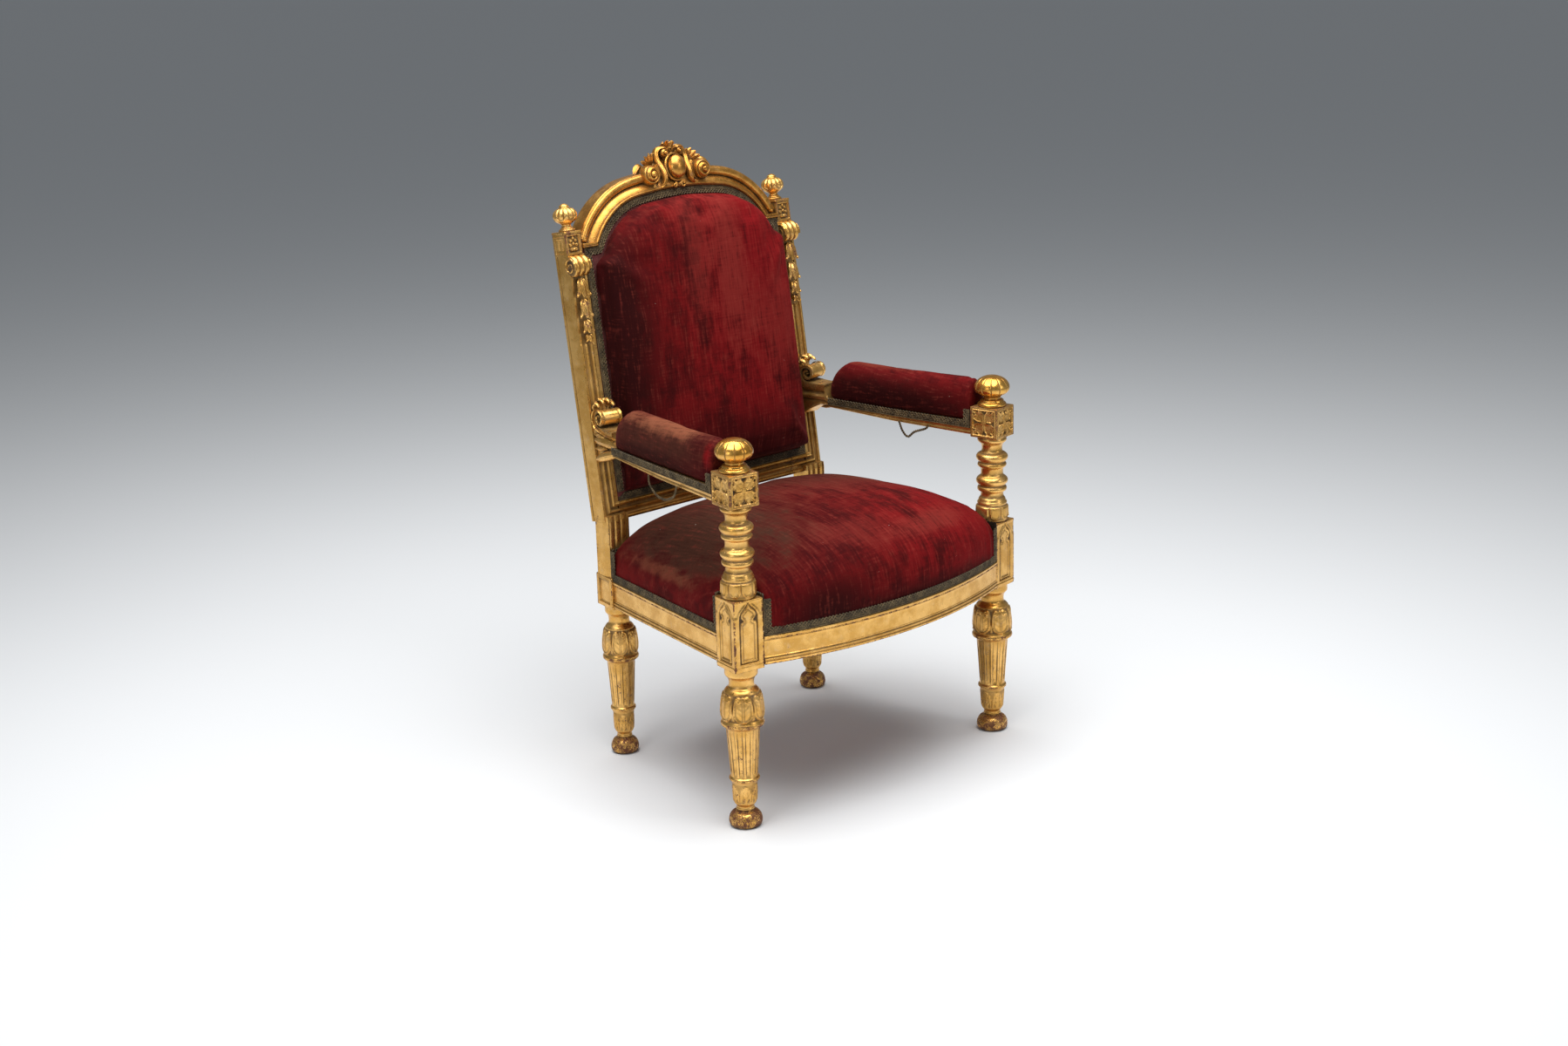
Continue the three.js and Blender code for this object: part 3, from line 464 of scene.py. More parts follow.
class Nodes:
    """A node material being made."""

    def __init__(self, name):
        self.material = bpy.data.materials.new(name)
        self.material.use_nodes = True
        self.tree = self.material.node_tree
        self.shader = self.tree.nodes["Principled BSDF"]
        self.place = self.add("ShaderNodeTexCoord").outputs["Object"]

    def add(self, kind, **settings):
        node = self.tree.nodes.new(kind)
        for key, value in settings.items():
            setattr(node, key, value)
        return node

    def feed(self, node, index, value):
        """Sets an input, or links it where value is another node's output."""
        if hasattr(value, "is_linked"):
            self.tree.links.new(value, node.inputs[index])
        else:
            node.inputs[index].default_value = value

    def fill(self, node, **values):
        """Feeds a node's inputs by name, with _ for each space."""
        for key, value in values.items():
            self.feed(node, key.replace("_", " "), value)
        return node

    def math(self, operation, a, b=0.0, clamp=False):
        node = self.add("ShaderNodeMath", operation=operation, use_clamp=clamp)
        self.feed(node, 0, a)
        self.feed(node, 1, b)
        return node.outputs[0]

    def plus(self, a, b):
        return self.math("ADD", a, b)

    def times(self, a, b, clamp=False):
        return self.math("MULTIPLY", a, b, clamp)

    def most(self, a, b):
        return self.math("MAXIMUM", a, b)

    def ramp(self, value, low, high, out_low=0.0, out_high=1.0):
        node = self.add("ShaderNodeMapRange", interpolation_type="SMOOTHSTEP")
        for i, v in enumerate((value, low, high, out_low, out_high)):
            self.feed(node, i, v)
        return node.outputs[0]

    def mix(self, factor, a, b):
        node = self.add("ShaderNodeMix", data_type="RGBA")
        self.feed(node, 0, factor)
        for index, value in ((6, a), (7, b)):
            self.feed(node, index, value if hasattr(value, "is_linked") else (*value, 1))
        return node.outputs[2]

    def stretched(self, scale, turn=(0, 0, 0)):
        return self.fill(self.add("ShaderNodeMapping"), Vector=self.place, Rotation=turn, Scale=scale).outputs[0]

    def noise(self, scale, detail=4, rough=0.55, place=None, warp=0.0):
        return self.fill(self.add("ShaderNodeTexNoise"), Vector=place or self.place, Scale=scale, Detail=detail,
                         Roughness=rough, Distortion=warp).outputs[0]

    def shut_in(self, distance, **settings):
        """Ambient occlusion over a distance in metres: 1 in the open."""
        node = self.add("ShaderNodeAmbientOcclusion", samples=4, **settings)
        return self.fill(node, Distance=distance).outputs["AO"]

    def mask(self, name):
        return self.add("ShaderNodeAttribute", attribute_name=name).outputs["Fac"]

    def bump(self, height, strength, distance, *below):
        """A bump over the surface, or over another bump below it."""
        node = self.fill(self.add("ShaderNodeBump"), Strength=strength, Distance=distance, Height=height)
        for normal in below:
            self.feed(node, "Normal", normal)
        return node.outputs[0]

    def set(self, **values):
        self.fill(self.shader, **values)


WARM_WHITE = (0.93, 0.83, 0.62)
BOLE = (0.24, 0.085, 0.028)
BOLE_DARK = (0.095, 0.026, 0.009)
# Dark brown painted into the gilding's hollows, for grime and for shade.
GRIME_AND_SHADE = (0.045, 0.021, 0.008)


def gilding(name, bright, deep, wear, grime_and_shade, rough, metal=0.9):
    """Water gilding over a red-brown ground: tone from leaf to leaf, worn edges, grime and painted shade in the
    hollows.
    """
    n = Nodes(name)
    tone = n.noise(28, 5, 0.6)
    patch = n.noise(95, 6, 0.62)
    speck = n.noise(420, 5, 0.7)
    gold = n.mix(n.ramp(tone, 0.38, 0.64), deep, bright)
    pale = tuple(min(1, 0.55 * c + 0.45 * p) for c, p in zip(bright, WARM_WHITE))
    gold = n.mix(n.ramp(patch, 0.55, 0.75, 0.0, 0.35), gold, pale)
    # Edges: where the body is thin under the surface.
    edge = n.ramp(n.shut_in(0.0045, inside=True, only_local=True), 0.93, 0.55)
    edge = n.most(n.times(edge, 0.6), n.mask("rub"))
    worn = n.plus(n.times(edge, 0.42 + 0.3 * wear), n.ramp(patch, 0.4, 0.8, -0.1, 0.42))
    worn = n.plus(worn, n.ramp(speck, 0.35, 0.75, -0.18, 0.3))
    worn = n.ramp(worn, 0.54 - 0.2 * wear, 0.7 - 0.2 * wear)
    # Hollows: where something close by shuts the surface in, painted darker for shade and grime.
    hollow = n.most(n.times(n.ramp(n.shut_in(0.011), 0.86, 0.3), 0.9), n.mask("dark"))
    hollow = n.times(hollow, n.ramp(patch, 0.25, 0.6, 0.55, 1.0))
    hollow = n.times(hollow, 0.55 + 0.6 * grime_and_shade, clamp=True)
    streak = n.noise(60, 6, 0.65, n.stretched((9, 9, 1), turn=(0.35, 0.2, 0.6)), 0.4)
    bare = n.most(worn, n.ramp(streak, 0.655, 0.7, 0.0, 0.8))
    colour = n.mix(bare, gold, n.mix(n.ramp(speck, 0.4, 0.65), BOLE_DARK, BOLE))
    colour = n.mix(hollow, colour, GRIME_AND_SHADE)
    bare = n.most(bare, hollow)
    normal = n.bump(patch, 0.25, 0.0008)
    normal = n.bump(speck, 0.22, 0.0003, normal)
    normal = n.bump(bare, 0.35, -0.0003, normal)
    n.set(Base_Color=colour, Metallic=n.ramp(bare, 0, 1, metal, 0.1), Normal=normal,
          Roughness=n.plus(n.ramp(patch, 0.3, 0.7, rough - 0.07, rough + 0.1), n.times(bare, 0.3)))
    return n.material


DARK = (0.016, 0.0022, 0.002)
BROWN = (0.047, 0.0185, 0.0105)
TAN = (0.24, 0.078, 0.038)
PINK = (0.2, 0.026, 0.019)
CRIMSON = (0.2, 0.0045, 0.0065)


def velvet(name, warp, weft, streak, zones):
    """Crimson velvet. warp, weft and streak are scales in cycles a metre. zones are patches of wear, of painted shade
    and of painted highlight: (tint, centre in metres, radii in metres, amount)."""
    n = Nodes(name)
    along = n.noise(1, 4, 0.55, n.stretched(warp))
    across = n.noise(1, 3, 0.55, n.stretched(weft))
    cloth = n.plus(n.times(along, 0.68), n.times(across, 0.32))
    broad = n.noise(1, 5, 0.6, n.stretched(streak), 0.3)
    crush = n.noise(26, 6, 0.68)
    pile = n.noise(1700, 2, 0.7)
    tone = n.plus(n.times(broad, 0.55), n.times(crush, 0.45))
    colour = n.mix(n.ramp(tone, 0.38, 0.62), (0.05, 0.002, 0.0025), (0.14, 0.0045, 0.005))
    for tint, centre, radii, amount in zones:
        at = n.fill(n.add("ShaderNodeMapping", vector_type="TEXTURE"), Vector=n.place, Location=centre, Scale=radii)
        reach = n.add("ShaderNodeVectorMath", operation="LENGTH")
        n.feed(reach, 0, at.outputs[0])
        ragged = n.plus(reach.outputs["Value"], n.ramp(tone, 0.3, 0.7, 0.4, -0.4))
        ragged = n.plus(ragged, n.ramp(cloth, 0.35, 0.65, 0.09, -0.09))
        colour = n.mix(n.ramp(ragged, 1.15, 0.3, 0, amount), colour, tint)
    colour = n.mix(n.ramp(cloth, 0.5, 0.74, 0, 0.42), colour, (0.26, 0.038, 0.026))
    colour = n.mix(n.ramp(cloth, 0.5, 0.28, 0, 0.6), colour, (0.022, 0.002, 0.002))
    fleck = n.noise(190, 2, 0.5)
    colour = n.mix(n.ramp(fleck, 0.8, 0.815), colour, (0.75, 0.6, 0.5))
    normal = n.bump(crush, 0.25, 0.003)
    normal = n.bump(cloth, 0.3, 0.0006, normal)
    normal = n.bump(pile, 0.4, 0.0005, normal)
    n.set(Base_Color=colour, Roughness=0.88, Normal=normal, Specular_IOR_Level=0.08,
          Sheen_Weight=0.13, Sheen_Roughness=0.34, Sheen_Tint=(0.9, 0.18, 0.12, 1))
    return n.material


def braiding():
    """Tarnished metal thread over a dark core, with painted shade between the cords and painted glints."""
    n = Nodes("braid")
    tone = n.noise(60, 5, 0.6)
    wave = n.add("ShaderNodeTexWave", wave_type="BANDS", bands_direction="DIAGONAL")
    twist = n.fill(wave, Vector=n.place, Scale=420, Distortion=1.5).outputs["Fac"]
    grain = n.noise(900, 3, 0.6)
    colour = n.mix(n.ramp(tone, 0.35, 0.68), (0.085, 0.055, 0.023), (0.27, 0.185, 0.082))
    colour = n.mix(n.ramp(twist, 0.1, 0.6, 0.6, 0), colour, (0.03, 0.02, 0.009))
    # Painted shade between the cords and under the braid, from the dark mask.
    colour = n.mix(n.times(n.mask("dark"), 0.92), colour, (0.010, 0.0075, 0.0045))
    # Pale specks: painted glints on the metal thread.
    colour = n.mix(n.ramp(grain, 0.62, 0.72, 0, 0.5), colour, (0.5, 0.4, 0.2))
    normal = n.bump(grain, 0.4, 0.0003, n.bump(twist, 0.5, 0.0004))
    n.set(Base_Color=colour, Metallic=0.35, Roughness=0.52, Normal=normal)
    return n.material


def lining():
    """The plain woven cloth behind the back."""
    n = Nodes("back_cloth")
    warp = n.noise(700, 3, 0.6, n.stretched((1, 1, 0.05)))
    weft = n.noise(700, 3, 0.6, n.stretched((0.05, 1, 1)))
    weave = n.plus(warp, weft)
    colour = n.mix(n.ramp(n.noise(9, 4, 0.6), 0.3, 0.7), (0.075, 0.012, 0.012), (0.13, 0.022, 0.02))
    colour = n.mix(n.ramp(weave, 0.9, 1.2, 0, 0.5), colour, (0.22, 0.06, 0.05))
    n.set(Base_Color=colour, Roughness=0.9, Normal=n.bump(weave, 0.5, 0.0006))
    return n.material


GILT = gilding("gilt_wood", (0.9, 0.53, 0.16), (0.7, 0.375, 0.085), wear=0.6, grime_and_shade=0.75, rough=0.3)
GILT_DEEP = gilding("gilt_back", (0.74, 0.37, 0.08), (0.52, 0.235, 0.042), wear=0.35, grime_and_shade=0.75, rough=0.3)
BURNISHED = gilding("burnished_gilt", (0.83, 0.46, 0.1), (0.68, 0.31, 0.045), wear=0.12, grime_and_shade=0.5, rough=0.22)
BRAID = braiding()
LINING = lining()

# ---- Turned work ----

LEG = [(0.1, 0), (22, 0), (26, 1.5), (28.7, 7), (28.9, 13), (27, 20), (22.5, 25.5), (17, 27.5), (14, 29),
       (13.5, 30.5), (15.8, 31.5), (15.8, 33.5), (14.6, 35), (15.5, 38), (18, 41), (19.8, 44), (20.6, 52),
       (22.3, 79), (24, 83.4), (25.9, 85), (26.4, 87), (25.9, 89.5), (23.4, 91), (23, 92.4), (23.1, 94),
       (28.6, 177), (29.4, 180), (31.5, 181.6), (36.3, 184), (37.4, 187), (36.9, 190.5), (35, 192.5), (34.2, 195),
       (36, 199), (36.6, 206), (36.2, 216), (35, 226), (33.2, 236), (31, 243), (27, 248.2), (23.2, 250.6),
       (21.5, 253.5), (21.1, 260), (22.4, 266.5), (25.6, 270.5), (27.6, 272.5), (28.3, 275), (28.1, 279), (28, 285.2)]
TONGUE = np.vstack([spiral((8.3, 234.5), 0.6, 6.2, 120, -360, 16),
                    [(15.4, 228), (16.2, 219), (15.9, 212)],
                    [(15.7 * math.cos(a), 212.5 + 15.6 * math.sin(a)) for a in np.linspace(-0.1, -math.pi / 2, 9)]])


def tongue_relief(a, z):
    """Six tongue leaves with curled tops round the bulb, and darts between them."""
    s = from_nearest(a, 6) * 36.0
    d = line_distance(s, z, TONGUE)
    edge = bead(d, 2.3)
    field = inside(s, z, [(-1, 196.5), *TONGUE[::-1].tolist(), (-1, 241)])
    rib = bead(s, 1.3) * smooth(199, 204, z) * smooth(240, 232, z)
    veins = bead(((z - 197 - 0.9 * s + 60) % 9) - 4.5, 1.1)
    veins = veins * smooth(0.8, 2.5, s) * smooth(13.5, 9, s) * smooth(230, 224, z)
    dart = bead(18.85 - s, 2.6) * smooth(197, 200, z) * smooth(222, 208, z)
    live = smooth(194.5, 197, z) * smooth(244, 241, z)
    out = np.where(field, -0.4 + 0.9 * rib + 0.5 * veins, -2.0 + 1.8 * dart)
    out = np.maximum(out, -2.2 + 3.6 * edge)
    dark = np.where(field, 0.55 * smooth(4.2, 2.6, d), 0.85 - 0.6 * dart) * smooth(1.0, 2.3, d)
    dark = np.maximum(dark, 0.5 * np.where(field, smooth(0.25, 0.75, bead(s - 1.9, 1.0)), 0))
    return out * live, dark * live


FRONDS = [spiral((5.2, 70), 0.5, 4.2, 60, -250, 12), [(1.2, 76), (1.0, 46)], [(1.2, 50), (5, 54), (8, 62)],
          [(1.2, 58), (4.5, 62), (6.5, 66)], [(9.4, 46), (8.6, 54), (9.6, 62)]]


def leg_relief(a, z, r):
    """A fluted shaft, the leaves of the bulb over it, and fronds round the cup under it."""
    shaft = smooth(92.8, 95.5, z) * smooth(178.5, 176.5, z)
    phase = triangle(a * 12 / (2 * math.pi))
    fillet = bead(1 - phase, 0.42)
    flat = smooth(0.62, 0.5, phase)
    bulb, bulb_dark = tongue_relief(a, z)
    near = np.minimum.reduce([line_distance(from_nearest(a, 6) * 21, z, line) for line in FRONDS])
    cup = smooth(43.5, 46, z) * smooth(81, 78.5, z)
    out = shaft * (-2.3 + 2.4 * fillet + 0.35 * flat) + bulb + cup * (1.25 * bead(near, 1.7) - 0.55)
    dark = np.maximum(shaft * smooth(0.5, 0.6, phase) * smooth(0.8, 0.64, phase), bulb_dark)
    dark = np.maximum(dark, cup * 0.4 * smooth(1.0, 2.2, near))
    rub = smooth(35, 28, z) * 0.95 + 0.8 * smooth(181, 184, z) * smooth(192.5, 190, z) + 0.45 * cup
    rub += shaft * 0.42 * flat + 0.75 * smooth(84.5, 86, z) * smooth(90, 88.5, z)
    return out, dark, np.clip(rub, 0, 1.4)


def leg_shape(shape, slim, top, cols):
    """A leg up to the height top, its girth scaled by slim. The plain shaft has fewer rows."""
    profile = rounded(LEG, 1)
    shaft = np.flatnonzero((profile[:, 1] > 92.5) & (profile[:, 1] < 177))
    first, last = shaft[0], shaft[-1] + 1
    rows = np.vstack([spaced(profile[:first], 2.6), spaced(profile[first:last], 8), spaced(profile[last:], 1.7)])
    rows = np.unique(np.round(rows, 4), axis=0)
    rows = rows[np.argsort(rows[:, 1], kind="stable")]
    piece = Shape()
    lathe(piece, rows[rows[:, 1] <= top + 0.5], cols, leg_relief)
    shape.add(piece, np.diag([slim, slim, 1, 1]))


BALUSTER = [(0.1, 407.6), (26.5, 407.6), (28.2, 409.5), (29.4, 412.5), (29.6, 424), (29.4, 434), (28.6, 436),
            (26.7, 437.4), (26.5, 439), (27.3, 441), (27, 443.5), (25, 446), (24.5, 449), (22.5, 451.5), (20.9, 454),
            (20.5, 458), (20.9, 461.5), (23.5, 463.6), (26.2, 465), (27, 468.5), (26.2, 471.6), (24.3, 473.2),
            (24.2, 475), (26.5, 477.4), (28.6, 480.6), (29.1, 484), (28, 487.4), (24.9, 490.6), (21.4, 492.5),
            (20.3, 496), (20.1, 500), (20.4, 505), (21.6, 508), (25.2, 509.6), (26.6, 512.5), (25.8, 515.6),
            (24.3, 517.2), (24.2, 519), (26.5, 521.4), (28.6, 524.6), (29.1, 528), (28, 531.4), (24.9, 534.4),
            (20, 536.6), (18.6, 540), (18.4, 545), (19.2, 549.5), (21.5, 553.5), (25.2, 556.4), (26.6, 559),
            (26.4, 562), (25, 564), (25, 566.3)]


def baluster_relief(a, z, r):
    """Eight arched panels round the drum, and painted shade and grime in the grooves of the rings above."""
    s = from_nearest(a, 8) * 29.5
    arc = [(9 * math.cos(t), 423 + 9 * math.sin(t)) for t in np.linspace(0, -math.pi / 2, 7)]
    u_shape = [(9.0, 437), (9.0, 423)] + arc
    d = line_distance(s, z, u_shape)
    field = inside(s, z, [(-1, 414), *u_shape[::-1], (-1, 437)])
    drum = smooth(410.5, 413, z) * smooth(437, 434.5, z)
    out = np.where(field, 0.2 + 0.5 * bead(s, 6), -1.3) + 1.1 * bead(d, 1.5) * np.where(field, 1, 1.6)
    dark = np.where(field, 0.7 * smooth(1.0, 1.8, d) * smooth(3.2, 2.2, d), 0.65 * smooth(0.8, 1.8, d))
    groove = sum(bead(z - at, 2.2) for at in (437.8, 473.9, 517.9, 453, 535.6))
    rings = bead(z - 484, 4) + bead(z - 528, 4)
    return out * drum, np.maximum(dark * drum, 0.8 * np.clip(groove, 0, 1)), 0.4 * np.clip(rings, 0, 1)


def melon_relief(a, z, r):
    """Twelve gores parted by narrow grooves."""
    live = smooth(641, 646, z) * smooth(675, 672, z)
    groove = np.exp(-(((1 - triangle(a * 12 / (2 * math.pi))) / 0.085) ** 2))
    return -live * groove, live * smooth(0.3, 0.8, groove), 0.3 * smooth(655, 645, z) * live


# ---- Front posts ----

ONION = mirrored_outline([(15.2, 301), (15.4, 352), (15.2, 366), (13.8, 369.5), (10.4, 370.4), (8.6, 372.6),
                          (9.6, 375.6), (12.2, 377.2), (13.9, 381), (13.4, 385.5), (10.2, 389.4), (5.4, 393),
                          (2.2, 397), (0.4, 401.5)])
POINTED = mirrored_outline([(18.8, 298), (18.8, 378), (18, 383), (15.2, 388.5), (10.5, 393.5), (5, 398.5), (1, 404.5)])


def block_panel(u, z):
    """A cusped, pointed arch: an outer recess, a raised bead and a flat field."""
    outer = depth_in(u, z, POINTED)
    inner = depth_in(u, z, ONION)
    out = -2.6 * smooth(-0.4, 1.2, outer)
    out += 2.3 * bead(inner - 0.4, 1.7) * (outer > 0)
    out += 1.3 * smooth(0.6, 2.2, inner) * (inner > 0)
    out -= 0.7 * bead(inner - 4.2, 0.9)
    dark = smooth(0.2, 1.4, outer) * smooth(0.2, -1.2, inner) * 0.95
    dark = np.maximum(dark, 0.45 * bead(inner - 4.2, 1.2))
    spandrel = smooth(-2.4, -4.2, outer) * smooth(378, 384, z) * smooth(405, 402, z)
    out -= 1.0 * spandrel
    foot = bead(z - 291.5, 2) - 0.9 * bead(z - 294.8, 1.3)
    out += 0.8 * foot
    rub = 0.5 * bead(u - 3, 1.4) * smooth(322, 334, z) * smooth(362, 350, z)
    return out, dark, rub + 0.25 * bead(inner - 0.4, 1.2)


def four_leaves(u, z):
    """A sunk square filled by four leaves laid on the diagonals, with openings between them at mid-side that are
    painted dark as shade.
    """
    x, y = u, z - CUBE_MIDDLE
    side = CUBE_HALF - 6.4
    frame = side - np.maximum(abs(x), abs(y))
    far, near = np.maximum(abs(x), abs(y)) / side, np.minimum(abs(x), abs(y)) / side
    gap = np.where(far > 0.2, near - 0.2 * smooth(0.6, 0.98, far), 1) * side
    notch = np.hypot(far - 0.98, near - 0.66) * side - 1.5
    body = smooth(-0.1, 1.0, np.minimum(gap, notch))
    rim = bead(np.minimum(gap, notch) - 1.4, 1.3)
    bevel = near / np.maximum(far, 1e-6)
    vein = bead((1 - bevel) * far * side, 1.1) * smooth(0.16, 0.3, far)
    rays = bead(((far + near) * side * 0.5 + (1 - bevel) * 5) % 5.2 - 2.6, 0.9) * smooth(0.35, 0.5, far)
    out = -3.6 * smooth(-0.5, 0.7, frame)
    lifted = (1.9 + 1.3 * rim - 0.3 * vein - 0.3 * rays + 0.6 * smooth(0.28, 0.12, far)) * body
    out += np.where(frame > 0, lifted, 0)
    out += 0.9 * bead(frame + 1.6, 1.1)
    dark = smooth(-0.2, 0.6, frame) * (1 - body) * 0.98
    dark = np.maximum(dark, (0.1 * vein + 0.2 * rays) * body * (frame > 0))
    dark = np.maximum(dark, 0.6 * bead(frame + 3.4, 0.9) + 0.55 * bead(frame, 0.8))
    return out, dark, 0.25 * rim * body


front_post = Shape()
leg_shape(front_post, 1.0, 285.2, 120)
block(front_post, BLOCK_HALF, BLOCK_HALF, 285, 408, {0: block_panel, 1: block_panel}, step=1.35)
lathe(front_post, spaced(rounded(BALUSTER, 1), 2.0), 96, baluster_relief, start=0.2)
block(front_post, CUBE_HALF, CUBE_HALF, 566, 622, {k: four_leaves for k in (0, 1, 3)}, step=1.15)
pair(front_post, "front_post", GILT, FRONT_POST)

FINIAL = [(0.1, 622.3), (25, 622.3), (26.1, 624), (26.2, 626.2), (24.4, 628.6), (21.6, 630.4), (21.4, 632),
          (20.4, 634), (16.6, 635.2), (15.6, 636.4), (16.2, 639.5), (21, 642.6), (26.6, 645.6), (30.6, 649.6),
          (32.3, 654.5), (31.6, 660.4), (28.6, 666.4), (23.4, 671.4), (16, 675.4), (7, 677.7), (0.1, 678)]
arm_finial = Shape()
lathe(arm_finial, spaced(rounded(FINIAL, 2), 2.0), 132, melon_relief)
pair(arm_finial, "arm_finial", BURNISHED, FRONT_POST)

# ---- Rear posts ----


def rear_block_panel(u, z):
    frame = np.minimum(REAR_BLOCK_HALF - 8 - abs(u), np.minimum(z - 286 - 8, 345 - 8 - z))
    out = -2.6 * smooth(-0.4, 1.4, frame) + 0.7 * bead(frame + 1.5, 1.1)
    dark = 0.6 * bead(frame - 1.2, 1.8) * smooth(-6, 16, z - 325) + 0.5 * bead(frame - 0.8, 1.2)
    return out, dark, 0.35 * bead(frame + 1.5, 1.0)


# The moulding of the back's frame: [distance out from the padding, depth], the same on stiles and rail.
MOULD = np.array([(-9, 0.5), (-1.4, 0.5), (-0.6, -1.2), (1.2, -2.6), (3.4, -2.6), (4.8, -1.2), (5.2, 0.8), (6.6, 3.4),
                  (8.6, 4.4), (10, 3.4), (10.4, 1.2), (11.6, -0.6), (13.4, -0.6), (14.2, 0.8), (15.6, 2.6),
                  (18.4, 3.4), (20.6, 2.8), (21.4, 0.8), (22.2, -0.8), (24.4, -1.2), (26, -0.4), (27.4, 0)])
PAD_EDGE_X = 240.9
PAD_FOOT_UP = -131.5
MITRE = 24.6 / 29.5


def mould_depth(t):
    return np.interp(t, MOULD[:, 0], MOULD[:, 1])


def mould_dark(t):
    return np.clip(0.75 * bead(t - 8.3, 3.2) + 0.5 * bead(t - 18.6, 3.6) + 0.5 * bead(t + 1.2, 1.2), 0, 1)


FLUTE_TOP = 157
HUSK_MIDDLE = 251


def stile_front(x, up):
    """What the stile's front stands back, and its dark mask."""
    t = np.maximum(x - PAD_EDGE_X, (PAD_FOOT_UP - up) * MITRE)
    depth = mould_depth(t)
    dark = mould_dark(t)
    plain = smooth(FLUTE_TOP - 1, FLUTE_TOP + 3, up)
    sunk = smooth(263.5, 261.5, x) * smooth(236.5, 238.5, x)
    depth = depth * (1 - plain) + plain * 2.6 * sunk
    dark = dark * (1 - plain) + plain * 0.72 * sunk
    return depth, dark


def stile_shape(shape):
    """The raked stile: a carved front, a plain outer side with a bead behind, and a plain back."""
    x = np.linspace(*STILE_X, 46)
    up = np.concatenate([np.linspace(-161.5, -125, 40), np.linspace(-120, 150, 40), np.linspace(152, 162, 10),
                         np.linspace(170, 317, 18)])[:, None]
    rest = np.array([(268.3, 1), (268.3, 8), (268.3, 18), (268.3, 28), (268.2, 30.2), (266.9, 31), (267.0, 32),
                     (268.2, 32.6), (268.9, 34.4), (268.8, 36.6), (267.8, 38.4), (266, STILE_DEPTH),
                     (250, STILE_DEPTH), (233, STILE_DEPTH), (232, 38), (232, 30), (232, 10), (232, 1.5)])
    depth, dark = stile_front(x[None], up)
    rest_dark = np.zeros((len(up), len(rest)))
    rest_dark[:, 5:7] = 0.8
    rest_rub = np.zeros_like(rest_dark)
    rest_rub[:, 8:12] = 0.45
    rest_rub[:, :1] = 0.35
    shape.grid(np.concatenate([stack(x, depth, up), stack(rest[:, 0], rest[:, 1], up)], 1),
               np.concatenate([dark, rest_dark], 1), np.concatenate([np.zeros_like(dark), rest_rub], 1))


def stile_foot(shape):
    """The upright part below the lower rail, reeded in front."""
    x = np.linspace(221, 267.4, 48)
    z = np.concatenate([np.linspace(345.2, 352, 6), np.linspace(360, 440, 12), np.linspace(444, 458, 8)])[:, None]
    t = (x - 226) / 13.2
    reed = np.where((t > 0) & (t < 3), abs(np.sin(math.pi * t)) ** 0.55, 0)
    live = smooth(352, 358, z)
    depth = (3.2 - 3.4 * reed) * live * ((t > -0.05) & (t < 3.05))
    dark = live * smooth(0.55, 0.2, reed) * ((t > 0) & (t < 3)) * 0.8
    front_y = STILE_FOOT_Y + np.where(z > 448, (z - 448) * math.tan(RAKE), 0)
    rest = np.array([(267.4, 1.0), (267.4, 12), (267.4, 28), (267.4, 38.2), (266.6, STILE_DEPTH),
                     (245, STILE_DEPTH), (222, STILE_DEPTH), (221, 38), (221, 20), (221, 2)])
    rest_dark = np.zeros((len(z), len(rest)))
    rest_rub = np.zeros_like(rest_dark)
    rest_rub[:, 3:5] = 0.7
    shape.grid(np.concatenate([stack(x, front_y + depth, z), stack(rest[:, 0], front_y + rest[:, 1], z)], 1),
               np.concatenate([dark, rest_dark], 1), np.concatenate([np.zeros_like(dark), rest_rub], 1))


def console(shape):
    """Three reeds rolled over the front of the stile under the top block, with scrolled ends."""
    x = np.linspace(234.6, 268.4, 44)
    t = (x - 234.6) / 33.8 * 3
    reed = abs(np.sin(math.pi * t)) ** 0.6
    angle = np.linspace(100, -165, 40)[:, None] * DEG
    radius = (19.8 - 3.4 * (1 - reed)) * np.interp(angle / DEG, [-165, -100, -60, 100], [0.62, 0.78, 0.95, 1])
    outer = stack(x, -1.0 - radius * np.cos(angle), 295.6 + radius * np.sin(angle) * 1.03)
    inner = stack(x[::-1], 4.0, 295.6 + 12 * np.sin(angle))
    dark = np.broadcast_to(smooth(0.55, 0.2, reed) * 0.85, outer.shape[:2])
    # The dark mask paints shade in the reeds' grooves, and fully on the inner face under the roll.
    shape.grid(np.concatenate([outer, inner], 1), np.concatenate([dark, np.ones_like(dark)], 1))
    for edge in (268.6, 234.4):
        line = spiral((-1.5, 296), 3.2, 16.5, 20, 560, 40)
        tube(shape, stack(edge, line[:, 0], line[:, 1]), np.interp(np.arange(40), [0, 39], [1.0, 2.4]), 6)


def husk(shape, top, length, wide):
    """Three petals in a fall: the outer two curl out at their tips, and the middle one curls forwards."""
    def at(across, depth, down):
        return HUSK_MIDDLE + across * wide, depth, top - down * length

    front = (0, -1, 0)
    ball(shape, at(0, 0.5, 0.36), (0.5 * wide, 6.5, 0.36 * length), 14, 22)
    for side in (-1, 1):
        spine = [at(side * 0.12, -3.5, 0.02), at(side * 0.44, -7, 0.26), at(side * 0.5, -7.4, 0.56),
                 at(side * 0.86, -7.8, 0.8), at(side * 1.12, -9.6, 0.84)]
        leaf(shape, spine, wide * np.array([0.2, 0.4, 0.44, 0.34, 0.12]), front, 2.2, 1.6, 1.2)
        ball(shape, at(side * 1.02, -8.6, 0.85), (0.2 * wide,) * 3, 8, 12)
    spine = [at(0, -7, 0.1), at(0, -10, 0.42), at(0, -10, 0.72), at(0, -12.6, 0.96), at(0, -14.4, 0.93)]
    leaf(shape, spine, wide * np.array([0.14, 0.36, 0.44, 0.36, 0.2]), front, 2.0, -1.2, 1.4)


